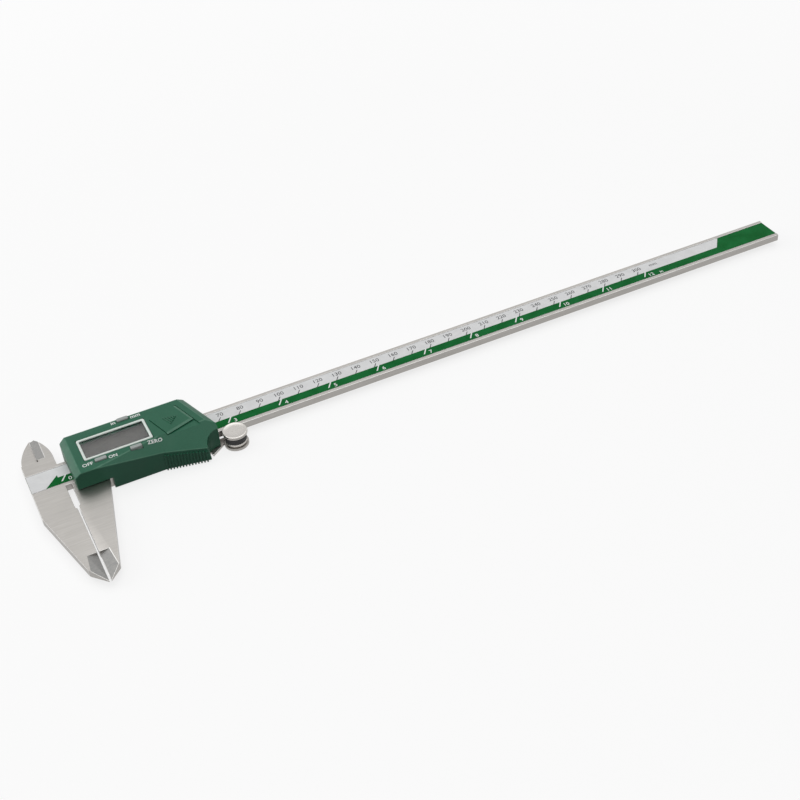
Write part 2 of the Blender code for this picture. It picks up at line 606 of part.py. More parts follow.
for number, (u, y) in enumerate(SCREW_SPOTS, 1):
    ceiling = FRONT_ROOF if y < 0 else ROOF_LOW
    boss_low = RAIL_RISE + SEAT_GAP
    combine(housing, "UNION", rod(f"add_boss_{number}", BOSS_RADIUS, boss_low, ceiling + 0.5 * MM,
                                  (u, y, 0), slider))
    combine(housing, "DIFFERENCE", rod(f"cut_boss_{number}", SCREW_SHANK_RADIUS + SEAT_GAP, boss_low - MM,
                                       FRONT_ROOF - 0.4 * MM, (u, y, 0), slider, None, 20))
    shank = [(0, FRAME_BACK + 0.1 * MM), (SCREW_HEAD_RADIUS, FRAME_BACK + 0.1 * MM),
             (SCREW_HEAD_RADIUS, FRAME_BACK + SCREW_HEAD), (SCREW_SHANK_RADIUS, FRAME_BACK + SCREW_HEAD),
             (SCREW_SHANK_RADIUS, FRONT_ROOF - 0.8 * MM), (0, FRONT_ROOF - 0.8 * MM)]
    turned(f"housing_screw_{number}", shank, (u, y, 0), slider, SCREW, 20)

# Display stack: bezel over window over panel, with two elastomer strips down to the board
middle = (BEZEL_MIDDLE, BEZEL_Y)
seat = (BEZEL_LENGTH + 2 * SEAT_GAP, BEZEL_WIDTH + 2 * SEAT_GAP)
opening = (BEZEL_LENGTH - 2 * BEZEL_RIM, BEZEL_WIDTH - 2 * BEZEL_RIM)
combine(
    housing, "DIFFERENCE",
    centred_box("cut_bezel_seat", middle, seat, (LENS_LOW - SEAT_GAP, TOP + 3 * MM), slider),
    centred_box("cut_window", middle, opening, (ROOF_LOW - MM, TOP + 2 * MM), slider),
)
bezel = centred_box("display_bezel", middle, (BEZEL_LENGTH, BEZEL_WIDTH), (BEZEL_LOW, BEZEL_TOP),
                    slider, WHITE)
combine(bezel, "DIFFERENCE",
        centred_box("cut_bezel", middle, opening, (BEZEL_LOW - MM, BEZEL_TOP + MM), slider))
lens_size = (BEZEL_LENGTH - 0.3 * MM, BEZEL_WIDTH - 0.3 * MM)
centred_box("display_lens", middle, lens_size, (LENS_LOW, LENS_TOP), slider, LENS)
lcd_size = (BEZEL_LENGTH - 1.0 * MM, BEZEL_WIDTH - 1.0 * MM)
centred_box("lcd_panel", middle, lcd_size, (LCD_LOW, LCD_TOP), slider, GLASS)
for number, side in enumerate((-1, 1), 1):
    spot = (BEZEL_MIDDLE, BEZEL_Y + side * (lcd_size[1] / 2 - ZEBRA_WIDTH / 2 - 0.4 * MM))
    centred_box(f"zebra_strip_{number}", spot, (lcd_size[0] - 3 * MM, ZEBRA_WIDTH),
                (BOARD_TOP + SEAT_GAP, LCD_LOW - SEAT_GAP), slider, BLACK)
box("main_board", (BOARD_START, BOARD_END), (RAIL_LOW + 0.8 * MM, RAIL_HIGH - SEAT_GAP),
    (BOARD_LOW, BOARD_TOP), slider, BOARD)
centred_box("controller_chip", middle, (8 * MM, 6 * MM), (BOARD_TOP + SEAT_GAP, BOARD_TOP + 1.2 * MM),
            slider, BLACK)

# Buttons with retaining wings, each over its switch dome
button_low = BOARD_TOP + SEAT_GAP + DOME_HEIGHT + BUTTON_TRAVEL
for number, (name, (u, y)) in enumerate(BUTTON_SPOTS.items(), 1):
    ceiling = FRONT_ROOF if y < 0 else ROOF_LOW
    size = (BUTTON_LENGTH, BUTTON_WIDTH)
    wing_high = ceiling - SEAT_GAP
    button = centred_box(name, (u, y), size, (button_low, TOP + BUTTON_PROUD), slider, GREY)
    wings = (BUTTON_LENGTH + 2 * MM, BUTTON_WIDTH - 0.4 * MM)
    combine(button, "UNION", centred_box(f"add_{name}_wings", (u, y), wings,
                                         (wing_high - 0.8 * MM, wing_high), slider))
    hole = [side + 2 * SEAT_GAP for side in size]
    combine(housing, "DIFFERENCE",
            centred_box(f"cut_{name}", (u, y), hole, (ceiling - MM, TOP + 4 * MM), slider))
    dome = [(0, 0), (DOME_RADIUS, 0), (DOME_RADIUS, DOME_HEIGHT / 2),
            (DOME_RADIUS / 2, DOME_HEIGHT), (0, DOME_HEIGHT)]
    turned(f"switch_dome_{number}", dome, (u, y, BOARD_TOP + SEAT_GAP), slider, BRIGHT, 20)

# Coin cell, contacts and the cover that slides off over the front facet
cell_at = (*CELL_AT, 0)
rim = 0.4 * MM
cell_profile = [(0, CELL_LOW), (CELL_RADIUS - rim, CELL_LOW), (CELL_RADIUS, CELL_LOW + rim),
                (CELL_RADIUS, CELL_TOP - rim), (CELL_RADIUS - rim, CELL_TOP), (0, CELL_TOP)]
turned("coin_cell", cell_profile, cell_at, slider, BRIGHT, 32)
box("contact_minus", (CELL_AT.x - 5 * MM, BOARD_END - 0.5 * MM), (CELL_AT.y - 2 * MM, CELL_AT.y + 2 * MM),
    (BOARD_TOP + SEAT_GAP, CONTACT_TOP), slider, GOLD)
plus_at = CELL_AT.x - CELL_RADIUS - SEAT_GAP
plus_outline = [(plus_at - 2.2 * MM, BOARD_TOP + SEAT_GAP), (plus_at, BOARD_TOP + SEAT_GAP),
                (plus_at, CELL_TOP - 1.4 * MM), (plus_at - 0.35 * MM, CELL_TOP - 1.4 * MM),
                (plus_at - 0.35 * MM, BOARD_TOP + SEAT_GAP + 0.35 * MM),
                (plus_at - 2.2 * MM, BOARD_TOP + SEAT_GAP + 0.35 * MM)]
plus = bmesh.new()
sides = [[plus.verts.new((u, CELL_AT.y + side * 1.5 * MM, z)) for u, z in plus_outline] for side in (-1, 1)]
for side in sides:
    plus.faces.new(side)
for i in range(len(plus_outline)):
    j = (i + 1) % len(plus_outline)
    plus.faces.new((sides[0][i], sides[0][j], sides[1][j], sides[1][i]))
finish("contact_plus", plus, slider, (0, 0, 0), GOLD)

pocket_low = COVER_LOW - SEAT_GAP
hole_long = 2 * CELL_RADIUS + 0.6 * MM
combine(
    housing, "DIFFERENCE",
    prism("cut_cover_pocket",
          turned_rectangle(CELL_AT, COVER_WIDE + 2 * SEAT_GAP, COVER_LONG + 2 * SEAT_GAP, 20 * MM),
          pocket_low, TOP + 5 * MM, slider),
    prism("cut_cell_hole", turned_rectangle(CELL_AT, hole_long + 0.4 * MM, hole_long), ROOF_LOW - MM,
          TOP + 6 * MM, slider),
)
prism("battery_cover", turned_rectangle(CELL_AT, COVER_WIDE, COVER_LONG), COVER_LOW, COVER_TOP, slider, GREEN)
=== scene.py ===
# %% [markdown]
# # A digital caliper, surface by surface
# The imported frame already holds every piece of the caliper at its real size. This lesson gives
# the pieces their looks: ground steel, moulded green plastic, a printed scale and a display.
# Shapes are worked out with numpy as grids of points, and every finish is a small node tree.

# %% Load the frame
import math

import bmesh
import bpy
import numpy as np
from mathutils import Matrix, Vector
from mathutils.bvhtree import BVHTree


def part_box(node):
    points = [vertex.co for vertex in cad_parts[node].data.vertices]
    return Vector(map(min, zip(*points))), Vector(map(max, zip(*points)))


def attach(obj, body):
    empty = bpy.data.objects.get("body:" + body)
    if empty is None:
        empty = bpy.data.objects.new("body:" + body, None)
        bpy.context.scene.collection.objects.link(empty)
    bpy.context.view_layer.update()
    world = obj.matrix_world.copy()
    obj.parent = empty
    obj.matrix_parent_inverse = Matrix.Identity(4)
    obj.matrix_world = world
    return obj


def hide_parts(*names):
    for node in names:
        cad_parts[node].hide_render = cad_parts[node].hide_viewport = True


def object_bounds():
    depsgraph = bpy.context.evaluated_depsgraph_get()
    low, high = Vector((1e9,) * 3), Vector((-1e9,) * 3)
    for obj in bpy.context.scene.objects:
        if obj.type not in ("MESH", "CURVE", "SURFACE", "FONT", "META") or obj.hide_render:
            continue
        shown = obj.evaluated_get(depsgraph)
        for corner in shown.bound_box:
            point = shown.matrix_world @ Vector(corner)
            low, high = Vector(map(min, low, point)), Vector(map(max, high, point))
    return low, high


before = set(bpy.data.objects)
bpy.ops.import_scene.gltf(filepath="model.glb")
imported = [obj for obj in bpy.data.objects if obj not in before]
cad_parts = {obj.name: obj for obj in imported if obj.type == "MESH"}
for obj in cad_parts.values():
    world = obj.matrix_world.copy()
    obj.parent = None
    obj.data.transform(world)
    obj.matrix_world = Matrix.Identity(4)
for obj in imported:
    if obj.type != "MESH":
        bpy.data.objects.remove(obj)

cad_box = [list(corner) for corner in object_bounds()]

# %% [markdown]
# A caliper is read from its fixed measuring face, so places on the beam are given in millimetres
# from there: x along the beam, y from the middle of the scale, z from the beam's front rim.
# The slider has its own zero, its moving face. Both zeros are found from boxes of the frame,
# so nothing here has to be fitted by eye.

# %% Where the two zeros are
MM = 0.001
BEAM_LENGTH = 388.0
BEZEL_START = 9.2


def box_of(node):
    """Middle and size of a frame node, from its lowest and highest corner."""
    low, high = (np.array(corner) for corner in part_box(node))
    return (low + high) / 2, high - low


beam_high = np.array(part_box("beam")[1])
BEAM_ZERO = np.array([beam_high[0] - BEAM_LENGTH * MM, box_of("scale_label")[0][1], beam_high[2]])
SLIDER_ZERO = np.array([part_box("display_bezel")[0].x - BEZEL_START * MM, *BEAM_ZERO[1:]])


def on_beam(points):
    """Beam millimetres to world metres: scale by a thousandth, then add the beam's zero."""
    return np.asarray(points, float) * MM + BEAM_ZERO


def on_slider(points):
    """Slider millimetres to world metres: scale by a thousandth, then add the slider's zero."""
    return np.asarray(points, float) * MM + SLIDER_ZERO


print("beam zero", BEAM_ZERO.round(5), "slider zero", SLIDER_ZERO.round(5))

# %% [markdown]
# The camera comes before any surface, because it decides which details show. The photograph was
# taken from above the near side with a short telephoto lens; its place and turn were worked out
# from the marks of the scale. A camera looks along its own -Z, so the matrix holds the right,
# up and backward directions as columns.

# %% Camera
CAMERA_AT = Vector((-0.224266, -0.460955, 0.407507))
RIGHT = Vector((0.89690148, -0.43761723, -0.06370953))
UP = Vector((0.322528, 0.54874102, 0.77127102))
LENS = 61.22

camera_data = bpy.data.cameras.new("camera")
camera_data.lens = LENS
camera_data.sensor_width = 36.0
camera_data.clip_start = 0.01
camera = bpy.data.objects.new("camera", camera_data)
turn = Matrix((RIGHT, UP, RIGHT.cross(UP))).transposed()
camera.matrix_world = Matrix.Translation(CAMERA_AT) @ turn.to_4x4()
bpy.context.scene.collection.objects.link(camera)
bpy.context.scene.camera = camera
bpy.context.scene.view_settings.view_transform = "Standard"
print("camera at", tuple(round(x, 3) for x in CAMERA_AT), "lens", LENS, "mm")

# %% [markdown]
# Node trees are easier to read when one call places a node, sets its plain values and wires its
# inputs. A value that is a socket is linked, anything else is written on the input itself.
# Group trees get their sockets from the interface, as Blender 4.5 asks.

# %% Small tools for node trees
def add(tree, kind, inputs=None, **settings):
    """Place a node, set its plain settings, and link or set each named input."""
    node = tree.nodes.new(kind)
    for key, value in settings.items():
        setattr(node, key, value)
    for key, value in (inputs or {}).items():
        if isinstance(value, bpy.types.NodeSocket):
            tree.links.new(value, node.inputs[key])
        else:
            node.inputs[key].default_value = value
    return node


def math_node(tree, operation, first, second=0.0, clamp=False):
    """One sum on two values or sockets."""
    node = add(tree, "ShaderNodeMath", {0: first, 1: second}, operation=operation, use_clamp=clamp)
    return node.outputs[0]


def share_of(tree, share, first, second):
    """A share of one value plus the rest of another."""
    return math_node(tree, "ADD", math_node(tree, "MULTIPLY", first, share),
                     math_node(tree, "MULTIPLY", second, 1.0 - share))


def mix_colours(tree, factor, first, second):
    """Colour first where factor is 0, colour second where it is 1."""
    node = add(tree, "ShaderNodeMix", {0: factor, 6: first, 7: second}, data_type="RGBA")
    return node.outputs[2]


def ranged(tree, value, low, high, to_low, to_high):
    """Carry a value from one range to another, held at the ends."""
    inputs = {0: value, 1: low, 2: high, 3: to_low, 4: to_high}
    return add(tree, "ShaderNodeMapRange", inputs).outputs[0]


def noise(tree, place, scale, detail, **more):
    """Blender's noise at a place, as one value about a half."""
    inputs = {"Vector": place, "Scale": scale, "Detail": detail, **more}
    return add(tree, "ShaderNodeTexNoise", inputs).outputs[0]


def attribute(tree, name):
    """A value that the mesh itself carries on its faces."""
    return add(tree, "ShaderNodeAttribute", attribute_name=name).outputs["Fac"]


def new_group(name, inputs, outputs):
    """An empty shader group with named sockets; each input is label, kind, value."""
    group = bpy.data.node_groups.new(name, "ShaderNodeTree")
    for label, kind, value in inputs:
        socket = group.interface.new_socket(label, in_out="INPUT", socket_type=kind)
        socket.default_value = value
    for label, kind in outputs:
        group.interface.new_socket(label, in_out="OUTPUT", socket_type=kind)
    return group, group.nodes.new("NodeGroupInput"), group.nodes.new("NodeGroupOutput")


def grey(value):
    """A neutral colour with its alpha."""
    return (value, value, value, 1.0)


print("node tools ready")

# %% [markdown]
# Four effects are shared by several finishes, so each is one group. Grain is the fine pitting
# of a moulded or blasted skin. Grind lines are the long scratches that a grinding wheel leaves.
# Handling is the slow drift of gloss where hands and cloths have been. Edge wear and highlight reads an
# attribute that the softened pieces carry on their rounded edges and breaks it up with noise; the
# lighter tone it brings is partly wear and partly painted highlight.

# %% Shared effects as node groups
FLOAT, VECTOR = "NodeSocketFloat", "NodeSocketVector"
PER_METRE = 1000.0


def place_and_scale(tree, size):
    """Object coordinates, and how many patches of a size in millimetres fit in a metre."""
    return add(tree, "ShaderNodeTexCoord").outputs["Object"], math_node(tree, "DIVIDE", PER_METRE, size)


def grain_group():
    """Two noises, one at the given size and one three times finer, added seven to three."""
    tree, inside, out = new_group("surface_grain", [("Size mm", FLOAT, 0.3)],
                                  [("Height", FLOAT), ("Speckle", FLOAT)])
    place, scale = place_and_scale(tree, inside.outputs["Size mm"])
    coarse = noise(tree, place, scale, 2.0)
    fine = noise(tree, place, math_node(tree, "MULTIPLY", scale, 3.1), 1.0)
    tree.links.new(share_of(tree, 0.7, coarse, fine), out.inputs["Height"])
    tree.links.new(ranged(tree, coarse, 0.35, 0.65, 0.0, 1.0), out.inputs["Speckle"])
    return tree


def grind_group():
    """Noise stretched by a count for each axis: a low count makes long marks, a high one fine marks."""
    counts = (40.0, 4200.0, 4200.0)
    tree, inside, out = new_group("grind_lines", [("Counts", VECTOR, counts)],
                                  [("Height", FLOAT), ("Tone", FLOAT)])
    factors = {0: add(tree, "ShaderNodeTexCoord").outputs["Object"], 1: inside.outputs["Counts"]}
    stretched = add(tree, "ShaderNodeVectorMath", factors, operation="MULTIPLY")
    lines = noise(tree, stretched.outputs[0], 1.0, 3.0)
    tree.links.new(lines, out.inputs["Height"])
    tree.links.new(ranged(tree, lines, 0.3, 0.7, 0.0, 1.0), out.inputs["Tone"])
    return tree


def handling_group():
    """Slow noise of the given size, sharpened a little, with a second octave for smears."""
    tree, inside, out = new_group("handling", [("Size mm", FLOAT, 18.0)], [("Smear", FLOAT)])
    place, scale = place_and_scale(tree, inside.outputs["Size mm"])
    smear = noise(tree, place, scale, 4.0, Distortion=0.6)
    tree.links.new(ranged(tree, smear, 0.3, 0.7, 0.0, 1.0), out.inputs["Smear"])
    return tree


def worn_group():
    """The edge attribute times a broken noise, so that wear and painted highlight come and go along an edge.
    """
    tree, inside, out = new_group("edge_wear_and_highlight", [("Patch mm", FLOAT, 2.5)], [("Mask", FLOAT)])
    place, scale = place_and_scale(tree, inside.outputs["Patch mm"])
    patch = ranged(tree, noise(tree, place, scale, 1.0), 0.3, 0.65, 0.6, 1.0)
    mask = math_node(tree, "MULTIPLY", attribute(tree, "wear_and_highlight"), patch, clamp=True)
    tree.links.new(mask, out.inputs["Mask"])
    return tree


GRAIN, GRIND, HANDLING, EDGE_WEAR_HIGHLIGHT = grain_group(), grind_group(), handling_group(), worn_group()


def use(tree, group, **inputs):
    """Place a shared group; an input's name has _ for each space."""
    named = {key.replace("_", " "): value for key, value in inputs.items()}
    return add(tree, "ShaderNodeGroup", named, node_tree=group)


def gloss_drift(tree, size_mm, low, high):
    """A roughness that drifts between two values over smears of a size."""
    return ranged(tree, use(tree, HANDLING, Size_mm=size_mm).outputs["Smear"], 0.0, 1.0, low, high)


def mottled(tree, size_mm, dark, light):
    """A colour that drifts between two tones over smears of a size."""
    smear = use(tree, HANDLING, Size_mm=size_mm).outputs["Smear"]
    return mix_colours(tree, smear, (*dark, 1.0), (*light, 1.0))


print("groups:", [group.name for group in bpy.data.node_groups])

# %% [markdown]
# Every finish ends in one Principled shader. A number that is the same all over the surface is
# set on that shader; only what changes over the surface comes through nodes. The bump distance
# is given in micrometres, because real grain and scratches are that small.

# %% Finishing a material
MICROMETRE = 1e-6
SCRATCH_UM = 0.18
FACET_ROUGHER = 0.14


def finish(name, colour, roughness, height=None, depth_um=0.0, **plain):
    """A material from a colour, a roughness and perhaps a bump height, with plain values on the shader."""
    material = bpy.data.materials.new(name)
    material.use_nodes = True
    tree = material.node_tree
    surface = tree.nodes["Principled BSDF"]
    values = {"Base Color": colour(tree) if callable(colour) else colour,
              "Roughness": roughness(tree) if callable(roughness) else roughness}
    values.update({key.replace("_", " "): value for key, value in plain.items()})
    if height:
        relief = {"Height": height(tree), "Distance": depth_um * MICROMETRE, "Strength": 1.0}
        values["Normal"] = add(tree, "ShaderNodeBump", relief).outputs[0]
    for key, value in values.items():
        if isinstance(value, bpy.types.NodeSocket):
            tree.links.new(value, surface.inputs[key])
        else:
            surface.inputs[key].default_value = value
    return material


def tinted(shade, red, green, blue):
    """A shade times a factor for each colour, with its alpha."""
    return (shade * red, shade * green, shade * blue, 1.0)


def steel(name, shade, rough, counts, edge_highlight_shade):
    """Ground steel: lines give tone and bump, smears drift the gloss, sloping facets get painted shade and a
    rougher skin, and rounded edges a painted highlight over their wear.
    """
    def colour(tree):
        lines = use(tree, GRIND, Counts=counts).outputs["Tone"]
        smear = use(tree, HANDLING, Size_mm=14.0).outputs["Smear"]
        base = mix_colours(tree, share_of(tree, 0.8, lines, smear), tinted(shade, 0.92, 0.885, 0.835),
                           tinted(shade, 1.09, 1.05, 1.00))
        # Painted shade: sloping facets are darkened to half or two thirds of the tone, besides their duller
        # finish.
        dull_painted_shade = mix_colours(tree, lines, grey(shade * 0.5), tinted(shade, 0.66, 0.65, 0.62))
        base = mix_colours(tree, attribute(tree, "ground_and_painted_shade"), base, dull_painted_shade)
        # Painted highlight: rounded edges take a lighter steel tone, partly real edge wear.
        edge = use(tree, EDGE_WEAR_HIGHLIGHT, Patch_mm=4.0).outputs["Mask"]
        return mix_colours(tree, edge, base, tinted(edge_highlight_shade, 1.0, 0.99, 0.97))

    def roughness(tree):
        rougher = math_node(tree, "MULTIPLY", attribute(tree, "ground_and_painted_shade"), FACET_ROUGHER)
        return math_node(tree, "ADD", gloss_drift(tree, 9.0, rough - 0.02, rough + 0.03), rougher)

    def height(tree):
        return use(tree, GRIND, Counts=counts).outputs["Height"]

    return finish(name, colour, roughness, height, SCRATCH_UM, Metallic=1.0)


def plastic(name, dark, light, rough, grain_mm, depth_um, edge=None, **plain):
    """Moulded plastic: grain speckles the colour and roughens the skin, edges take a lighter tone, partly
    rubbed wear and partly painted highlight.
    """
    def colour(tree):
        speckle = use(tree, GRAIN, Size_mm=grain_mm).outputs["Speckle"]
        smear = use(tree, HANDLING, Size_mm=22.0).outputs["Smear"]
        base = mix_colours(tree, share_of(tree, 0.6, speckle, smear), (*dark, 1.0), (*light, 1.0))
        if edge is None:
            return base
        # Painted highlight: edges take a lighter tone, partly real rubbing.
        return mix_colours(tree, use(tree, EDGE_WEAR_HIGHLIGHT, Patch_mm=3.0).outputs["Mask"], base, (*edge, 1.0))

    def roughness(tree):
        return gloss_drift(tree, 12.0, rough - 0.06, rough + 0.06)

    def height(tree):
        return use(tree, GRAIN, Size_mm=grain_mm).outputs["Height"]

    return finish(name, colour, roughness, height, depth_um, **plain)


print("finishing tools ready")

# %% [markdown]
# The finishes themselves. A flat colour would do for a sketch, but steel and moulded plastic are
# known by their small marks. Steel tones, the greens, the off-white of the display frame and the
# grey of the buttons are set close to what the photograph shows under even light.

# %% The finishes
# The last number of each steel is the tone of its rounded edges, a painted highlight over real edge wear.
SATIN_STEEL = steel("satin_steel", 0.38, 0.35, (90.0, 2600.0, 2600.0), 0.64)
BRIGHT_STEEL = steel("bright_steel", 0.50, 0.24, (3000.0, 3000.0, 900.0), 0.66)
SCREW_STEEL = steel("screw_steel", 0.34, 0.33, (2500.0, 2500.0, 400.0), 0.5)
BRASS = finish("spring_brass", lambda t: mottled(t, 6.0, (0.62, 0.42, 0.16), (0.78, 0.58, 0.27)),
               lambda t: ranged(t, use(t, GRIND).outputs["Tone"], 0.0, 1.0, 0.22, 0.38), Metallic=1.0)
# The housing's edge tone is a lighter green: partly rubbed wear, partly painted highlight.
HOUSING_GREEN = plastic("housing_green", (0.014, 0.098, 0.053), (0.024, 0.125, 0.072), 0.34, 0.35, 8.0,
                        edge=(0.070, 0.190, 0.125), Specular_IOR_Level=0.2)
BEZEL_WHITE = plastic("bezel_white", (0.66, 0.74, 0.69), (0.74, 0.80, 0.76), 0.36, 0.3, 4.0,
                      edge=(0.80, 0.85, 0.82))
BUTTON_GREY = plastic("button_grey", (0.27, 0.30, 0.285), (0.33, 0.36, 0.345), 0.42, 0.25, 6.0)
ELASTOMER = plastic("elastomer", (0.02, 0.02, 0.022), (0.05, 0.05, 0.05), 0.7, 0.2, 10.0)
CHIP_BLACK = plastic("chip_black", (0.012, 0.012, 0.013), (0.025, 0.025, 0.026), 0.5, 0.15, 8.0)
BOARD_GREEN = plastic("strip_board", (0.012, 0.10, 0.04), (0.03, 0.18, 0.07), 0.4, 0.5, 10.0)
print(len(bpy.data.materials), "materials")

# %% [markdown]
# Print on the scale is thin film and ink: the film is white with a silver cast, the ink is a deep
# green band and small dark and white marks. Ink takes a faint mottle from the film under it, and
# it shines less than the film.

# %% Film and inks
FILM_DARK, FILM_LIGHT = (0.66, 0.665, 0.67), (0.73, 0.735, 0.74)
PRINT_UM = 2.0


def ink(name, dark, light, rough):
    """Printed ink whose tone drifts slowly over the film and whose gloss follows its grain."""
    def roughness(tree):
        speckle = use(tree, GRAIN, Size_mm=0.2).outputs["Speckle"]
        return ranged(tree, speckle, 0.0, 1.0, rough - 0.05, rough + 0.08)

    return finish(name, lambda t: mottled(t, 7.0, dark, light), roughness,
                  lambda t: use(t, GRAIN, Size_mm=0.25).outputs["Height"], PRINT_UM, Specular_IOR_Level=0.03)


LABEL_FILM = finish("label_film", lambda t: mottled(t, 5.0, FILM_DARK, FILM_LIGHT),
                    lambda t: gloss_drift(t, 6.0, 0.32, 0.46),
                    lambda t: use(t, GRAIN, Size_mm=0.3).outputs["Height"], PRINT_UM)
GREEN_INK = ink("green_ink", (0.004, 0.105, 0.021), (0.009, 0.145, 0.036), 0.38)
DARK_INK = ink("dark_ink", (0.06, 0.062, 0.065), (0.11, 0.112, 0.115), 0.45)
WHITE_INK = ink("white_ink", (0.78, 0.80, 0.79), (0.86, 0.87, 0.86), 0.45)
print("film and inks:", LABEL_FILM.name, GREEN_INK.name, DARK_INK.name, WHITE_INK.name)

# %% [markdown]
# The display is a grey liquid-crystal panel under a clear window. Switched off, the panel is an
# even warm grey with the faint haze of its polariser. The window is clear plastic, so it keeps a
# plain transmission, and only its roughness drifts a little.

# %% Display finishes
LCD_DARK, LCD_LIGHT = (0.034, 0.031, 0.027, 1.0), (0.050, 0.046, 0.040, 1.0)


def lcd_colour(tree):
    """Warm grey that drifts slowly, with fine polariser speckle."""
    haze = use(tree, HANDLING, Size_mm=25.0).outputs["Smear"]
    speckle = use(tree, GRAIN, Size_mm=0.12).outputs["Speckle"]
    return mix_colours(tree, share_of(tree, 0.7, haze, speckle), LCD_DARK, LCD_LIGHT)


def lcd_roughness(tree):
    """A dull skin whose roughness follows its grain."""
    return ranged(tree, use(tree, GRAIN, Size_mm=0.2).outputs["Height"], 0.0, 1.0, 0.3, 0.45)


LCD_GREY = finish("lcd_grey", lcd_colour, lcd_roughness)
WINDOW = finish("window", (0.93, 0.94, 0.93, 1.0), lambda t: gloss_drift(t, 10.0, 0.02, 0.06),
                Transmission_Weight=1.0, IOR=1.46)
print("display finishes:", LCD_GREY.name, WINDOW.name)

# %% [markdown]
# Surfaces are grids of points, so a few tools serve all of them: the corner numbers of a grid's
# quads, a closed loop round a rectangle with round corners, a stack of such loops, and a maker of
# pieces that closes seams, turns faces outwards and hands the piece to its body.

# %% Tools for surfaces
ARC_POINTS = 6
LOOP = 4 * ARC_POINTS


def grid_quads(rows, columns, close_rows=False, close_columns=False):
    """Corner numbers of a grid's quads: each point joins its next neighbours along both directions."""
    i, j = np.meshgrid(np.arange(rows if close_rows else rows - 1),
                       np.arange(columns if close_columns else columns - 1), indexing="ij")
    k, m = (i + 1) % rows, (j + 1) % columns
    return np.stack([i * columns + j, k * columns + j, k * columns + m, i * columns + m], -1).reshape(-1, 4)


def rounded_rectangle(length, width, radius):
    """A closed loop of four quarter circles whose centres sit one radius inside the corners."""
    angle = (np.arange(4)[:, None] + np.linspace(0.0, 1.0, ARC_POINTS)[None, :]) * math.pi / 2
    signs = np.array([[1, 1], [-1, 1], [-1, -1], [1, -1]])[:, None, :]
    centre = signs * (np.array([length, width]) / 2 - radius)
    return (centre + radius * np.stack([np.cos(angle), np.sin(angle)], -1)).reshape(-1, 2)


def quarter(radius, start, end, steps=5):
    """Points of an arc between two angles in degrees, as cosine and sine times the radius."""
    angle = np.radians(np.linspace(start, end, steps))
    return radius * np.stack([np.cos(angle), np.sin(angle)], -1)


def stacked_loops(middle, rings):
    """Rounded rectangles of length, width, radius and height, one above the other about a middle."""
    loops = [np.column_stack([rounded_rectangle(length, width, radius), np.full(LOOP, height)])
             for length, width, radius, height in rings]
    return np.stack(loops) + np.array([*middle[:2], 0.0])


def inset_rings(size, radius, profile, least_radius):
    """A profile of inset and height as rings: each side loses the inset twice, each corner once."""
    return [(size[0] - 2 * inset, size[1] - 2 * inset, max(radius - inset, least_radius), height)
            for inset, height in profile]


def loft(middle, rings):
    """Stacked loops joined into a closed skin with flat ends."""
    end = np.arange(LOOP)[None, :]
    faces = [grid_quads(len(rings), LOOP, close_columns=True), end, end + LOOP * (len(rings) - 1)]
    return stacked_loops(middle, rings), faces


def face_lists(blocks):
    """Arrays of corner numbers, and plain lists of them, as one list of faces."""
    return [list(face) for block in blocks
            for face in (block.tolist() if hasattr(block, "tolist") else block)]


def make_piece(name, points, faces, material, body, slot, stands_for=(), sharp=40.0):
    """Put arrays of points and faces into a mesh, close its seams, face it outwards and let it ride."""
    mesh = bpy.data.meshes.new(name)
    mesh.from_pydata(np.asarray(points, float).reshape(-1, 3).tolist(), [], face_lists(faces))
    shape = bmesh.new()
    shape.from_mesh(mesh)
    bmesh.ops.remove_doubles(shape, verts=shape.verts, dist=1e-7)
    bmesh.ops.recalc_face_normals(shape, faces=shape.faces)
    shape.to_mesh(mesh)
    shape.free()
    return set_piece(name, mesh, material, body, slot, stands_for, sharp)


def set_piece(name, mesh, material, body, slot, stands_for=(), sharp=40.0):
    """Give a finished mesh its object, shading, material and body; the slot is not used."""
    mesh.shade_smooth()
    mesh.set_sharp_from_angle(angle=math.radians(sharp))
    mesh.materials.clear()
    mesh.materials.append(material)
    piece = bpy.data.objects.new(name, mesh)
    bpy.context.scene.collection.objects.link(piece)
    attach(piece, body)
    if stands_for:
        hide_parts(*stands_for)
    return piece


print("surface tools ready")

# %% [markdown]
# The beam, the slider frame and the housing have exact outlines in the frame, and their holes,
# grooves and bevels are already cut. A new surface would only repeat them, so each gets a merged
# copy whose sharp edges are rounded, as a stone or a mould would leave them. The rounded faces
# carry the attribute for edge wear and painted highlight, and the housing's left bevel carries it
# as a painted highlight. The sloping facets, such as the knife bevels, carry another, which makes
# steel rougher and darker: partly the duller finish of facets ground by hand, partly painted shade.
# Any bend over a few degrees is kept sharp, so that the flats stay flat.
# so that the flats stay flat.

# %% Softened copies
MERGE_WITHIN, FLAT_WITHIN = 2e-6, math.radians(0.6)
STAND_OFF, SKY_REACH = 0.05 * MM, 0.05
FACET_TILT, LEAST_FACET = (0.7, 0.99), 2.0 * MM * MM
# The housing's left bevel takes this share of the lighter edge tone, as a painted highlight.
LEFT_BEVEL_HIGHLIGHT = 0.6


def merged_copy(node):
    """A frame node's triangles with doubles merged and flat neighbours joined."""
    shape = bmesh.new()
    shape.from_mesh(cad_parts[node].data)
    bmesh.ops.remove_doubles(shape, verts=shape.verts, dist=MERGE_WITHIN)
    bmesh.ops.dissolve_limit(shape, angle_limit=FLAT_WITHIN, verts=shape.verts, edges=shape.edges)
    shape.normal_update()
    return shape


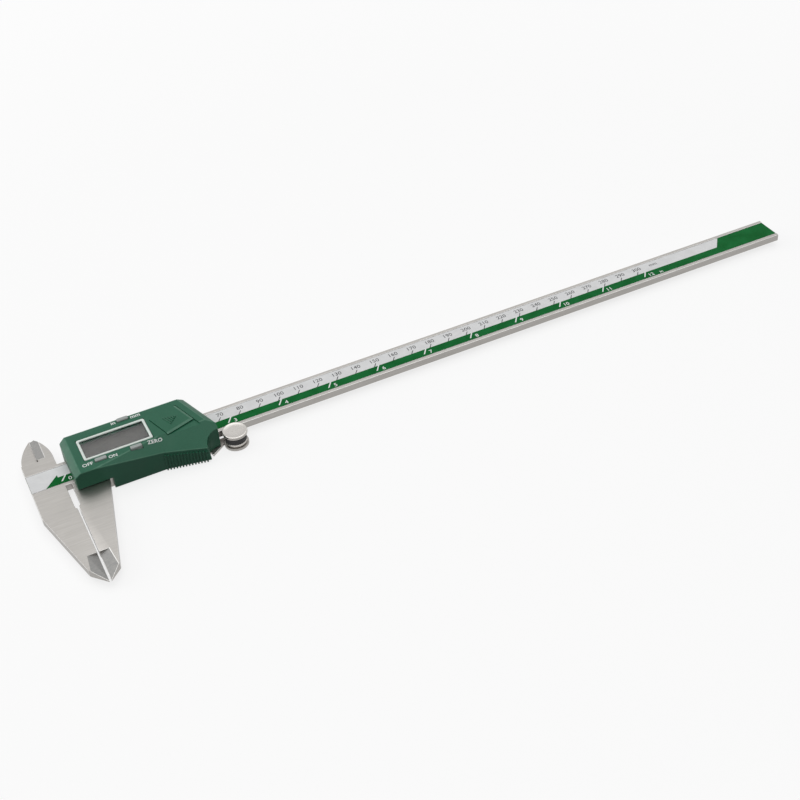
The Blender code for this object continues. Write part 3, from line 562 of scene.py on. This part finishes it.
def open_edges(shape, least_mm, least_degrees):
    """Convex edges over a length and an angle that see the sky along their own normal."""
    tree = BVHTree.FromBMesh(shape)
    found = []
    for edge in shape.edges:
        if len(edge.link_faces) != 2 or not edge.is_convex or edge.calc_length() < least_mm * MM:
            continue
        if edge.calc_face_angle() < math.radians(least_degrees):
            continue
        normal = (edge.link_faces[0].normal + edge.link_faces[1].normal).normalized()
        middle = (edge.verts[0].co + edge.verts[1].co) / 2
        if tree.ray_cast(middle + normal * STAND_OFF, normal, SKY_REACH)[0] is None:
            found.append(edge)
    return found


def soften(shape, edges, width_mm, segments):
    """Round the edges to a width and mark the new faces for edge wear and painted highlight."""
    layer = shape.faces.layers.float.get("wear_and_highlight") or shape.faces.layers.float.new("wear_and_highlight")
    done = bmesh.ops.bevel(shape, geom=edges, offset=width_mm * MM, offset_type="OFFSET",
                           segments=segments, profile=0.5, affect="EDGES", clamp_overlap=False,
                           loop_slide=True)
    for face in done["faces"]:
        face[layer] = 1.0
    return len(done["faces"])


def set_softened(name, shape, material, body, slot, node):
    """Mark sloping facets for painted shade and the housing's left bevel for a painted highlight, then make
    the copy the piece for its node.
    """
    mesh = bpy.data.meshes.new(name)
    wear_and_highlight = shape.faces.layers.float["wear_and_highlight"]
    ground_and_painted_shade = shape.faces.layers.float.new("ground_and_painted_shade")
    for face in shape.faces:
        # Painted shade: sloping facets are marked so that steel darkens on them, besides a rougher skin.
        slope = FACET_TILT[0] < abs(face.normal.z) < FACET_TILT[1] and face.calc_area() > LEAST_FACET
        face[ground_and_painted_shade] = 1.0 if slope and face[wear_and_highlight] < 0.5 else 0.0
        # Painted highlight: the housing's left bevel is marked with the edge attribute.
        if node == "upper_housing" and face.normal.x < -0.4 and face.normal.z > 0.5:
            face[wear_and_highlight] = max(face[wear_and_highlight], LEFT_BEVEL_HIGHLIGHT)
    shape.to_mesh(mesh)
    shape.free()
    return set_piece(name, mesh, material, body, slot, (node,), sharp=12.0)


print("softening tools ready, edges see the sky within", SKY_REACH, "m")

# %% The three softened pieces
BUTTONS = ("button_onoff", "button_zero", "button_unit")
OPENINGS, OPENING_RIM = ("display_bezel", *BUTTONS, "battery_cover"), 0.8 * MM
GRIP_START, GRIP_STOP = np.array([43.1, -14.55, 4.37]), np.array([62.1, -18.6, 1.84])
CORNER_WITHIN, CORNER_LEAST, CORNER_WIDTH = 0.3 * MM, 2 * MM, 0.7


def in_roof_opening(edge):
    """True for an edge on the rim of the display, button and battery openings, which stay crisp."""
    middle = np.array((edge.verts[0].co + edge.verts[1].co) / 2)
    for opening in OPENINGS:
        low, high = (np.array(corner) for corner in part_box(opening))
        if np.all(middle[:2] > low[:2] - OPENING_RIM) and np.all(middle[:2] < high[:2] + OPENING_RIM):
            return True
    return False


def grip_corner(shape):
    """The upright edge where the grip turns towards the thumb wheel."""
    corner = on_slider(GRIP_STOP)[:2]
    return [edge for edge in shape.edges if edge.calc_length() > CORNER_LEAST
            and all(math.dist(end.co[:2], corner) < CORNER_WITHIN for end in edge.verts)]


for node, name, body, material, slot, width, least_mm, least_degrees in (
    ("beam", "beam_with_head", "beam", SATIN_STEEL, "steel", 0.12, 2.6, 15.0),
    ("slider_frame", "slider_steel", "slider", SATIN_STEEL, "steel", 0.12, 2.6, 15.0),
    ("upper_housing", "housing_shell", "slider", HOUSING_GREEN, "housing_green", 0.35, 2.5, 20.0),
):
    shape = merged_copy(node)
    if node == "upper_housing":
        soften(shape, grip_corner(shape), CORNER_WIDTH, 2)
    edges = open_edges(shape, least_mm, least_degrees)
    if node == "upper_housing":
        edges = [edge for edge in edges if not in_roof_opening(edge)]
    count = soften(shape, edges, width, 3)
    piece = set_softened(name, shape, material, body, slot, node)
    print(name, len(edges), "edges softened into", count, "faces of", len(piece.data.polygons))

# %% [markdown]
# The display frame is a thin moulded ring. It could be a bevelled box with a hole, but a section
# carried round two rounded rectangles gives an even rim. The window is a clear slab with a small
# chamfer, so that its edge catches the light inside the frame.

# %% Display frame, window and panel
RIM, OUTER_ROUND, INNER_ROUND = 1.2 * MM, 0.25 * MM, 0.3 * MM
FRAME_CORNER, LEAST_CORNER = 0.9 * MM, 0.3 * MM
PANE_CHAMFER, PANE_LEAST_CORNER = 0.12 * MM, 0.02 * MM
frame_middle, frame_size = box_of("display_bezel")
frame_low, frame_top = frame_middle[2] - frame_size[2] / 2, frame_middle[2] + frame_size[2] / 2
outer_arc = np.array([OUTER_ROUND, frame_top - OUTER_ROUND]) + quarter(OUTER_ROUND, 180, 90)
inner_arc = np.array([RIM - INNER_ROUND, frame_top - INNER_ROUND]) + quarter(INNER_ROUND, 90, 0)
section = np.vstack([[0.0, frame_low], outer_arc, inner_arc, [RIM, frame_low]])
points = stacked_loops(frame_middle, inset_rings(frame_size, FRAME_CORNER, section, LEAST_CORNER))
make_piece("display_frame", points, [grid_quads(len(section), LOOP, True, True)], BEZEL_WHITE, "slider",
           "bezel_white", ("display_bezel",))


def pane(node, radius):
    """A clear or grey slab the size of its node, with a small chamfer above and below."""
    middle, size = box_of(node)
    low, top = middle[2] - size[2] / 2, middle[2] + size[2] / 2
    profile = [(PANE_CHAMFER, low), (0, low + PANE_CHAMFER), (0, top - PANE_CHAMFER), (PANE_CHAMFER, top)]
    return loft(middle, inset_rings(size, radius, profile, PANE_LEAST_CORNER))


make_piece("display_window", *pane("display_lens", 0.5 * MM), WINDOW, "slider", "window", ("display_lens",),
           sharp=25.0)
make_piece("display_panel", *pane("lcd_panel", 0.4 * MM), LCD_GREY, "slider", "lcd_grey", ("lcd_panel",),
           sharp=25.0)
print("display frame", (frame_size / MM).round(2), "panel", (box_of("lcd_panel")[1] / MM).round(2))

# %% [markdown]
# Each button is one moulding: a foot over the switch, two wings that keep it in the housing, and
# a cap with a rounded, slightly hollow top. All of it is one loft of rounded rectangles, so the
# wings and the cap are rings of different size at different heights.

# %% Buttons
CAP_LONG, CAP_WIDE, CAP_ROUND, CAP_CORNER = 5.4 * MM, 2.2 * MM, 0.45 * MM, 0.5 * MM
FOOT_WIDE, FOOT_CORNER, WING_CORNER = CAP_WIDE - 0.4 * MM, 0.2 * MM, 0.3 * MM
HOLLOW = ((0.65, 0.03), (0.9, 0.08))


def cap_top(top):
    """The cap's rounded edge as a quarter circle, then the insets and depths of its hollow."""
    edge = [(CAP_LONG - 2 * CAP_ROUND * (1 - c), CAP_WIDE - 2 * CAP_ROUND * (1 - c), CAP_CORNER,
             top - CAP_ROUND * (1 - s)) for c, s in quarter(1.0, 0, 90, 6)]
    return edge + [(CAP_LONG - 2 * inset * MM, CAP_WIDE - 2 * inset * MM, FOOT_CORNER, top - depth * MM)
                   for inset, depth in HOLLOW]


for name in BUTTONS:
    middle, size = box_of(name)
    low, top = middle[2] - size[2] / 2, middle[2] + size[2] / 2
    corners = np.array([v.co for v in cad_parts[name].data.vertices])
    wing = corners[np.abs(corners[:, 0] - middle[0]) > size[0] / 2 - 0.01 * MM][:, 2]
    wings = [(length, FOOT_WIDE, WING_CORNER, height) for length, height in (
        (CAP_LONG, wing.min()), (size[0], wing.min()), (size[0], wing.max()), (CAP_LONG, wing.max()))]
    rings = [(CAP_LONG - 0.2 * MM, FOOT_WIDE, FOOT_CORNER, low), *wings,
             (CAP_LONG, CAP_WIDE, CAP_CORNER, wing.max() + 0.1 * MM), *cap_top(top)]
    make_piece(name + "_cap", *loft(middle, rings), BUTTON_GREY, name, "button_grey", (name,), sharp=35.0)
    print(name, "cap top", round(top / MM, 2), "wings", (np.array([wing.min(), wing.max()]) / MM).round(2))

# %% [markdown]
# The battery cover is a plate that slides out towards the near side. It is turned a little in
# plan and its upper edges are bevelled. A bevelled box would do, but the bevel is wider on two
# sides than on the others, so it is a loft whose upper loops are moved sideways. The bevels that
# face the near side and the right carry the edge attribute, which paints a highlight on them.

# %% Battery cover
COVER_AT, COVER_SIZE, COVER_TURN = (52.3, 0.5), np.array([14.5, 14.1]) * MM, math.radians(18.0)
COVER_BEVEL, COVER_DROP, COVER_CORNER, COVER_FOOT = 1.25 * MM, 0.42 * MM, 0.35 * MM, 0.08 * MM
TOP_SHIFT = np.array([-0.4, 0.4]) * COVER_BEVEL
cover_low, cover_top = (corner.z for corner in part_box("battery_cover"))
profile = [(COVER_FOOT, cover_low), (0.0, cover_low + COVER_FOOT), (0.0, cover_top - COVER_DROP),
           (COVER_BEVEL / 2, cover_top), (COVER_BEVEL / 2 + 0.1 * MM, cover_top)]
points, faces = loft((0.0, 0.0), inset_rings(COVER_SIZE, COVER_CORNER, profile, PANE_LEAST_CORNER))
points[3:, :, :2] += TOP_SHIFT
cosine, sine = math.cos(COVER_TURN), math.sin(COVER_TURN)
flat_turn = np.array([[cosine, -sine, 0.0], [sine, cosine, 0.0], [0.0, 0.0, 1.0]])
points = points @ flat_turn.T + np.array([*on_slider((*COVER_AT, 0.0))[:2], 0.0])
door = make_piece("battery_door", points, faces, HOUSING_GREEN, "battery_cover", "housing_green",
                  ("battery_cover",), sharp=15.0)


def mark_worn(piece, chosen):
    """Write the edge attribute on faces whose normals a test picks out, all at once, for a painted
    highlight.
    """
    normals = np.empty(len(piece.data.polygons) * 3)
    piece.data.polygons.foreach_get("normal", normals)
    layer = piece.data.attributes.new("wear_and_highlight", "FLOAT", "FACE")
    layer.data.foreach_set("value", chosen(normals.reshape(-1, 3)).astype(np.float32))


def near_bevels(normals):
    """True where a face slopes up and looks to the right or to the near side."""
    x, y, z = normals.T
    return (z > 0.4) & (z < 0.98) & ((x > 0.1) | (y < -0.1))


# Painted highlight: the near and right bevels of the door take the lighter edge tone.
mark_worn(door, near_bevels)
print("battery door turned", round(math.degrees(COVER_TURN)), "degrees, top at", round(cover_top / MM, 2))

# %% [markdown]
# The thumb pushes the cover on five ribs of falling length, which together make an arrow. Ribs
# could be an array of stretched spheres. A half round section swept along straight lines is
# simpler, and the same sweep serves the grip and the strokes of the scale later.

# %% Ribs on the battery cover
RIB_WIDE, RIB_HIGH, RIB_ROOT = 0.66, 0.42, 0.25
ARROW_FAR, ARROW_TIP, ARROW_NEAR = np.array([[49.0, 3.2], [55.2, 1.7], [51.1, -2.6]])
ARROW_RIBS, ARROW_STEP = 5, 0.2


def half_round(width, height, steps=7):
    """A half ellipse of side and rise, closed a little below its foot."""
    arc = quarter(1.0, 180, 0, steps) * np.array([width / 2, height])
    return np.vstack([[-width / 2, -RIB_ROOT], arc, [width / 2, -RIB_ROOT]])


def sweep(starts, ends, side, rise, section):
    """A section of side and rise carried along straight lines, as closed bars, in millimetres."""
    side = np.broadcast_to(side, starts.shape)[:, None, :]
    rise = np.broadcast_to(rise, starts.shape)[:, None, :]
    outline = side * section[None, :, :1] + rise * section[None, :, 1:]
    points = np.stack([starts[:, None, :] + outline, ends[:, None, :] + outline], 1)
    count = len(section)
    bar = np.arange(len(starts))[:, None, None] * 2 * count
    sides = (grid_quads(2, count, close_columns=True)[None] + bar).reshape(-1, 4)
    caps = (np.stack([np.arange(count), np.arange(count) + count])[None] + bar).reshape(-1, count)
    return points, [sides, caps]


share = np.arange(ARROW_RIBS)[:, None] * ARROW_STEP
level = np.full(ARROW_RIBS, (cover_top - SLIDER_ZERO[2]) / MM)
starts = np.column_stack([ARROW_FAR + share * (ARROW_TIP - ARROW_FAR), level])
ends = np.column_stack([ARROW_NEAR + share * (ARROW_TIP - ARROW_NEAR), level])
line = (ends - starts) / np.linalg.norm(ends - starts, axis=1)[:, None]
across = np.column_stack([-line[:, 1], line[:, 0], np.zeros(ARROW_RIBS)])
points, faces = sweep(starts, ends, across, (0, 0, 1), half_round(RIB_WIDE, RIB_HIGH))
make_piece("door_ribs", on_slider(points), faces, HOUSING_GREEN, "battery_cover", "housing_green")
print(ARROW_RIBS, "ribs at", level[0].round(2), "mm")

# %% [markdown]
# The near wall of the housing swings out to a grip, and ribs stand on it for the thumb. They
# start a little below the wall's top edge, which slopes down to the right, and run to the skirt.
# Bump in the material would not show against the light, so each rib is a bar of its own.

# %% Grip ribs
SKIRT, GRIP_RIBS, LAST_RIB, BELOW_EDGE = -5.7, 14, 0.94, 1.4
share = np.linspace(0.0, LAST_RIB, GRIP_RIBS)[:, None]
tops = GRIP_START + share * (GRIP_STOP - GRIP_START) - np.array([0.0, 0.0, BELOW_EDGE])
feet = np.column_stack([tops[:, :2], np.full(GRIP_RIBS, SKIRT)])
WALL_LINE, WALL_OUT = np.array([0.978, -0.2085, 0.0]), np.array([-0.2085, -0.978, 0.0])
rib_half = np.array([[0.18, 0.72], [0.30, 0.62], [0.40, 0.0], [0.42, -RIB_ROOT]])
rib = np.vstack([rib_half[::-1] * np.array([-1, 1]), rib_half])
points, faces = sweep(tops, feet, WALL_LINE, WALL_OUT, rib)
make_piece("grip_ribs", on_slider(points), faces, HOUSING_GREEN, "slider", "housing_green")
print(GRIP_RIBS, "grip ribs")

# %% [markdown]
# Turned parts are a profile of radius and height carried round an axis, as on a lathe. Spin would
# do the same, but on arrays the radius can also ripple with the angle. The thumb wheel is a disc
# with a groove line in its rim, on a toothed neck that rolls along the beam. The neck is near black:
# partly a dark part, partly painted shade for the shaded groove between the disc and the collar.

# %% Thumb wheel
def lathe(profile, steps, ripple=None):
    """Radius and height turned about Z; ripple is a depth per profile point and a count of teeth."""
    profile = np.asarray(profile, float)
    angle = np.arange(steps) * 2 * math.pi / steps
    radius = np.repeat(profile[:, :1], steps, axis=1)
    if ripple is not None:
        depth, teeth = ripple
        radius = radius - np.asarray(depth)[:, None] * (0.5 - 0.5 * np.cos(teeth * angle))[None, :]
    height = np.repeat(profile[:, 1:], steps, axis=1)
    points = np.stack([radius * np.cos(angle), radius * np.sin(angle), height], -1)
    return points, [grid_quads(len(profile), steps, close_columns=True)]


WHEEL_AT, WHEEL_STEPS, BORE = np.array([77.0, -13.05, 0.0]), 96, 1.28
NECK_STEPS, NECK_TEETH, NECK_DEPTH, NECK_TOOTHED = 240, 60, 0.16, 4.96
wheel = [(0, 0.4), (BORE, 0.4), (5.1, 0.4), (5.6, 0.4), (5.75, 0.55), (5.75, 0.9), (5.52, 0.98),
         (5.52, 1.12), (5.75, 1.2), (5.75, 1.65), (5.68, 1.82), (5.5, 1.92), (5.3, 1.95), (5.15, 1.9),
         (3.0, 1.88), (0, 1.87)]
collar = [(BORE, -4.6), (4.8, -4.6), (5.0, -4.4), (5.0, -3.45), (4.85, -3.3), (BORE, -3.3), (BORE, -4.6)]
neck = np.array([(BORE, -3.3), (4.7, -3.3), (4.95, -3.1), (5.0, -2.9), (5.0, -0.2), (4.9, 0.1), (4.9, 0.4),
                 (BORE, 0.4), (BORE, -3.3)])
points, faces = lathe(wheel, WHEEL_STEPS)
make_piece("thumb_wheel", on_slider(points + WHEEL_AT), faces, BRIGHT_STEEL, "thumb_roller", "bright_steel",
           ("thumb_roller",), sharp=50.0)
points, faces = lathe(collar, WHEEL_STEPS)
make_piece("wheel_collar", on_slider(points + WHEEL_AT), faces, BRIGHT_STEEL, "thumb_roller", "bright_steel",
           sharp=50.0)
# Painted shade: the neck takes a near-black finish for the shade in its groove, partly a dark part.
points, faces = lathe(neck, NECK_STEPS, (np.where(neck[:, 0] > NECK_TOOTHED, NECK_DEPTH, 0.0), NECK_TEETH))
make_piece("wheel_neck", on_slider(points + WHEEL_AT), faces, CHIP_BLACK, "thumb_roller", "elastomer",
           sharp=40.0)
print("thumb wheel with", NECK_TEETH, "teeth on its neck")

# %% [markdown]
# The lock screw stands out of the far wall and is turned by finger and thumb, so its head is
# knurled: the radius ripples with the angle between the two chamfers. It is turned about Z like
# the wheel, and then its axis is laid along Y by swapping coordinates.

# %% Lock screw
LOCK_AT, TEETH, TOOTH_STEPS, TOOTH_DEPTH = np.array([19.0, 0.0, -1.75]), 36, 6, 0.24
HEAD_RADIUS, KNURL_FROM, KNURL_TO = 3.4, 15.8, 20.2
lock = np.array([(0, 9.82), (1.3, 9.82), (1.5, 10.02), (1.5, 15.32), (3.0, 15.32), (HEAD_RADIUS, 15.72),
                 (HEAD_RADIUS, 15.9), (HEAD_RADIUS, 20.1), (HEAD_RADIUS, 20.3), (3.0, 20.72), (2.2, 20.72),
                 (2.0, 20.5), (0, 20.5)])
knurled = (lock[:, 0] == HEAD_RADIUS) & (lock[:, 1] > KNURL_FROM) & (lock[:, 1] < KNURL_TO)
points, faces = lathe(lock, TEETH * TOOTH_STEPS, (np.where(knurled, TOOTH_DEPTH, 0.0), TEETH))
points = np.stack([points[..., 0], points[..., 2], -points[..., 1]], -1)
make_piece("lock_screw_knurled", on_slider(points + LOCK_AT), faces, BRIGHT_STEEL, "lock_screw",
           "bright_steel", ("lock_screw",), sharp=35.0)
print("lock screw with", TEETH, "teeth")

# %% [markdown]
# Four screws hold the housing from the back. Each head is slightly domed and has a cross recess.
# A boolean would cut the cross, but lifting the points of the face inside two crossed slots
# keeps one even grid.

# %% Housing screws
SCREW_FACE, SCREW_END, DOME_RADIUS, DOME_DROP = -5.9, 2.9, 1.4, 0.12
SLOT_HALF, SLOT_SLOPE, ARM_END, ARM_SLOPE, RECESS_DEPTH = 0.26, 0.08, 0.95, 0.25, 0.55


def cross_recess(points):
    """Lift the face of a screw head inside two crossed slots whose walls slope."""
    x, y = np.abs(points[..., 0]), np.abs(points[..., 1])
    beside = np.clip((SLOT_HALF - np.minimum(x, y)) / SLOT_SLOPE, 0, 1)
    along = np.clip((ARM_END - np.maximum(x, y)) / ARM_SLOPE, 0, 1)
    lift = RECESS_DEPTH * np.minimum(beside, along)
    lifted = points.copy()
    lifted[..., 2] += np.where(points[..., 2] < SCREW_FACE + 0.3, lift, 0.0)
    return lifted


head = [(r, SCREW_FACE + DOME_DROP * (r / DOME_RADIUS) ** 2) for r in np.linspace(0, DOME_RADIUS, 15)]
screw = [*head, (1.55, SCREW_FACE + 0.25), (1.6, SCREW_FACE + 0.45), (1.6, -4.8), (0.7, -4.8), (0.7, 2.6),
         (0.45, SCREW_END), (0, SCREW_END)]
for number in (1, 2, 3, 4):
    node = f"housing_screw_{number}"
    points, faces = lathe(screw, 64)
    place = box_of(node)[0] * np.array([1, 1, 0]) + np.array([0, 0, SLIDER_ZERO[2]])
    make_piece(f"cross_screw_{number}", cross_recess(points) * MM + place, faces, SCREW_STEEL, "slider",
               "screw_steel", (node,), sharp=30.0)
print("four cross screws")

# %% [markdown]
# The scale is printed. Ink could be painted in a material, but then it would blur when the part
# is baked, so every stroke, figure and band is a thin raised shape of its own. Figures start as
# text, become a mesh, and are then only arrays: moved, scaled to a height and stacked.

# %% Tools for print
INK_LOW, INK_TOP = -0.16, -0.065


def plate(outline, low, high):
    """A flat outline given thickness: two copies of the loop joined by walls."""
    loop = np.asarray(outline, float)
    count = len(loop)
    points = np.stack([np.column_stack([loop, np.full(count, z)]) for z in (low, high)])
    end = np.arange(count)[None, :]
    return points, [grid_quads(2, count, close_columns=True), end, end + count]


def letters(text, height, at, across="middle", weight=0.0, width=None):
    """Text as points and faces, scaled to a height in millimetres, its left or middle at a place."""
    curve = bpy.data.curves.new("letters", "FONT")
    curve.body, curve.resolution_u, curve.extrude, curve.offset = text, 3, 0.5, weight
    holder = bpy.data.objects.new("letters", curve)
    mesh = bpy.data.meshes.new_from_object(holder)
    flat = np.empty(len(mesh.vertices) * 3)
    mesh.vertices.foreach_get("co", flat)
    flat = flat.reshape(-1, 3)
    faces = [list(face.vertices) for face in mesh.polygons]
    bpy.data.objects.remove(holder)
    bpy.data.curves.remove(curve)
    bpy.data.meshes.remove(mesh)
    low, high = flat.min(0), flat.max(0)
    scale = height / (high[1] - low[1])
    stretch = width / (high[0] - low[0]) if width else scale
    origin = low[0] if across == "left" else (low[0] + high[0]) / 2
    flat[:, 0] = (flat[:, 0] - origin) * stretch + at[0]
    flat[:, 1] = (flat[:, 1] - low[1]) * scale + at[1]
    return flat, faces


def raised(shape, low, high):
    """Letters whose lower faces go to one height and whose upper faces go to another."""
    points, faces = shape
    return np.column_stack([points[:, :2], np.where(points[:, 2] > 0, high, low)]), faces


def stack(shapes):
    """Several letter shapes as one, each face number raised by the points before it."""
    points, faces, before = [], [], 0
    for some, their in shapes:
        points.append(some)
        faces += [[corner + before for corner in face] for face in their]
        before += len(some)
    return np.vstack(points), [faces]


print("print tools ready")

# %% [markdown]
# Millimetre figures stand on the white half of the film every ten millimetres, inch figures on
# the green band below. The strokes lean to the right. The band's left end is a plain point, and
# at the tail the white half ends on a slant. The inch zero moves left a little, so that the
# slider does not hide it.

# %% Print on the beam
FILM_EDGE, BAND_TOP, BAND_LOW, TAIL_TOP = 0.15, -1.05, -5.95, 5.95
POINT_AT, POINT_BACK, POINT_HIGH, SLANT_LOW, SLANT_TOP = -9.0, -2.4, 0.7, 353.6, 359.0
BAND_BELOW_INK = 0.015
film_end = (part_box("scale_label")[1].x - BEAM_ZERO[0]) / MM - FILM_EDGE
band = [(POINT_AT, BAND_LOW), (film_end, BAND_LOW), (film_end, TAIL_TOP), (SLANT_TOP, TAIL_TOP),
        (SLANT_LOW, BAND_TOP), (POINT_BACK, BAND_TOP), (POINT_BACK, POINT_HIGH)]
points, faces = plate(band, INK_LOW, INK_TOP - BAND_BELOW_INK)
make_piece("green_band", on_beam(points), faces, GREEN_INK, "beam", "label_print", sharp=30.0)


def strokes(name, at, foot_y, lean, half_width, material):
    """One leaning bar for each place along the beam, from its foot by the lean."""
    section = np.array([[-half_width, INK_LOW], [-half_width, INK_TOP], [half_width, INK_TOP],
                        [half_width, INK_LOW]])
    foot = np.column_stack([at, np.full(len(at), foot_y), np.zeros(len(at))])
    points, faces = sweep(foot, foot + np.array([*lean, 0.0]), (1, 0, 0), (0, 0, 1), section)
    make_piece(name, on_beam(points), faces, material, "beam", "label_print", sharp=30.0)


def figures(name, shapes, material):
    """Letter shapes raised to the ink's thickness as one piece."""
    points, faces = stack([raised(shape, INK_LOW, INK_TOP) for shape in shapes])
    make_piece(name, on_beam(points), faces, material, "beam", "label_print", sharp=30.0)


FIGURE_HIGH = 2.4
millimetres = np.arange(10, 301, 10)
strokes("millimetre_strokes", 4.2 + millimetres, -1.15, (1.7, 2.3), 0.24, DARK_INK)
figures("millimetre_figures", [*(letters(str(v), FIGURE_HIGH, (v + 6.3, 2.1)) for v in millimetres),
                               letters("mm", 1.4, (316.2, 2.2))], DARK_INK)
INCH, INCH_WEIGHT = 25.4, 0.012
inches = np.arange(0, 13)
inch_at = INCH * inches + np.where(inches == 0, -3.0, 0.0)
strokes("inch_strokes", inch_at + 1.65, -4.5, (2.7, 3.9), 0.36, WHITE_INK)
figures("inch_figures", [*(letters(str(v), FIGURE_HIGH, (at + 4.7, -5.2), "left", INCH_WEIGHT)
                           for v, at in zip(inches, inch_at)),
                         letters("in", 1.8, (316.4, -5.35), weight=0.02)], WHITE_INK)
print(len(millimetres), "millimetre marks,", len(inches), "inch marks, film to", round(film_end, 1))

# %% [markdown]
# The words by the buttons are printed on the housing, part of them on its sloping near facet.
# They could be projected with Shrinkwrap, but the height of the roof at any place is one formula,
# so each letter's points simply take it on.

# %% Print on the housing
ROOF, FACET_SLOPE, CREASE_X, CREASE_Y = 8.9, 0.625, (11.1, 43.1), (-14.55, -7.3)
WORD_LOW, WORD_TOP, WORD_WEIGHT = -0.05, 0.035, 0.015
WORDS = (("OFF", 4.8, 2.05, (9.8, -11.25)), ("ON", 3.9, 2.05, (21.4, -11.25)),
         ("ZERO", 6.9, 1.5, (41.1, -9.85)), ("in", 2.0, 2.0, (27.9, 10.6)), ("mm", 4.5, 1.7, (38.4, 10.6)))


def roof(points):
    """Roof height: flat behind the crease line, falling with the facet's slope in front of it."""
    crease = np.interp(points[:, 0], CREASE_X, CREASE_Y)
    return ROOF - FACET_SLOPE * np.maximum(crease - points[:, 1], 0.0)


words = []
for text, width, height, at in WORDS:
    points, faces = letters(text, height, at, weight=WORD_WEIGHT, width=width)
    points[:, 2] = roof(points) + np.where(points[:, 2] > 0, WORD_TOP, WORD_LOW)
    words.append((points, faces))
points, faces = stack(words)
make_piece("housing_words", on_slider(points), faces, WHITE_INK, "slider", "label_print", sharp=30.0)
print(len(words), "words on the housing")

# %% [markdown]
# Small inner parts, such as the board, the cell, the contacts and the gib, have the right shape in
# the frame already. They stay as they are and only get a finish, because they show through the
# battery opening and from the back.

# %% Finishes for the nodes that stay
for names, material in (
    (("scale_label",), LABEL_FILM),
    (("scale_strip", "main_board"), BOARD_GREEN),
    (("gib_strip", "contact_minus", "contact_plus"), BRASS),
    (("gib_screw_1", "gib_screw_2", "roller_pin", "coin_cell"), SCREW_STEEL),
    (("switch_dome_1", "switch_dome_2", "switch_dome_3"), BRIGHT_STEEL),
    (("zebra_strip_1", "zebra_strip_2"), ELASTOMER),
    (("controller_chip",), CHIP_BLACK),
):
    for name in names:
        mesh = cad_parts[name].data
        mesh.materials.clear()
        mesh.materials.append(material)
print("finished nodes that stay")

# %% [markdown]
# The stage is a pale floor that looks white to the camera and to mirrors, but throws little
# light back up, as a deep table would. It keeps the shadow near the caliper and turns plain white
# further off, so that no horizon shows.

# %% Floor
FLOOR_HALF, FLOOR_DROP = 30.0, 0.0003
SHADOW_FROM, SHADOW_TO, SHADOW_SHARE = 0.3, 1.1, 0.24
PAPER, PAPER_BOUNCE = 0.97, 0.09
floor_mesh = bpy.data.meshes.new("floor")
corners = np.array([(-1, -1, 0), (1, -1, 0), (1, 1, 0), (-1, 1, 0)]) * FLOOR_HALF
corners[:, 2] = cad_box[0][2] - FLOOR_DROP
floor_mesh.from_pydata(corners.tolist(), [], [(0, 1, 2, 3)])
floor = bpy.data.objects.new("floor", floor_mesh)
bpy.context.scene.collection.objects.link(floor)


def seen(tree):
    """One for camera, mirror and glass rays, zero for the soft light between surfaces."""
    path = add(tree, "ShaderNodeLightPath").outputs
    total = math_node(tree, "ADD", path["Is Camera Ray"], path["Is Glossy Ray"])
    return math_node(tree, "ADD", total, path["Is Transmission Ray"], clamp=True)


floor_look = bpy.data.materials.new("floor_paper")
floor_look.use_nodes = True
tree = floor_look.node_tree
tree.nodes.clear()
place = add(tree, "ShaderNodeTexCoord").outputs["Object"]
away = add(tree, "ShaderNodeVectorMath", {0: place}, operation="LENGTH").outputs["Value"]
white = add(tree, "ShaderNodeEmission", {"Strength": 1.0}).outputs[0]
lit = add(tree, "ShaderNodeBsdfDiffuse", {"Color": grey(PAPER)}).outputs[0]
share = ranged(tree, away, SHADOW_FROM, SHADOW_TO, SHADOW_SHARE, 0.0)
shown = add(tree, "ShaderNodeMixShader", {0: share, 1: white, 2: lit}).outputs[0]
bounce = add(tree, "ShaderNodeBsdfDiffuse", {"Color": grey(PAPER_BOUNCE)}).outputs[0]
paper = add(tree, "ShaderNodeMixShader", {0: seen(tree), 1: bounce, 2: shown})
tree.links.new(paper.outputs[0], add(tree, "ShaderNodeOutputMaterial").inputs[0])
floor_mesh.materials.append(floor_look)
print("floor", 2 * FLOOR_HALF, "m wide, shadow to", SHADOW_TO, "m")

# %% [markdown]
# Two broad softboxes light the caliper. The key hangs low behind its left end, so that the left
# bevel catches it and the near side stays in soft shade. The top one is wide and dim, so that the
# jaws keep their grey when they are seen from above. The world adds a little even light and looks
# white to the camera, to mirrors and through glass.

# %% World and softboxes
WORLD_FILL = 0.19
world = bpy.data.worlds.new("studio")
world.use_nodes = True
bpy.context.scene.world = world
tree = world.node_tree
strength = math_node(tree, "ADD", WORLD_FILL, math_node(tree, "MULTIPLY", seen(tree), 1.0 - WORLD_FILL))
tree.links.new(strength, tree.nodes["Background"].inputs["Strength"])
tree.nodes["Background"].inputs["Color"].default_value = grey(1.0)


def softbox(name, at, size, power):
    """A rectangular lamp at a place, aimed at the middle of the caliper."""
    lamp = bpy.data.lights.new(name, "AREA")
    lamp.shape = "RECTANGLE"
    lamp.size, lamp.size_y = size
    lamp.energy = power
    holder = bpy.data.objects.new(name, lamp)
    holder.location = at
    holder.rotation_euler = (-Vector(at)).to_track_quat("-Z", "Y").to_euler()
    bpy.context.scene.collection.objects.link(holder)


softbox("key_softbox", (-2.4, 1.4, 1.25), (3.2, 2.2), 32.0)
softbox("top_softbox", (0.1, 0.0, 3.0), (5.0, 4.4), 86.0)
print("two softboxes, world fill", WORLD_FILL)
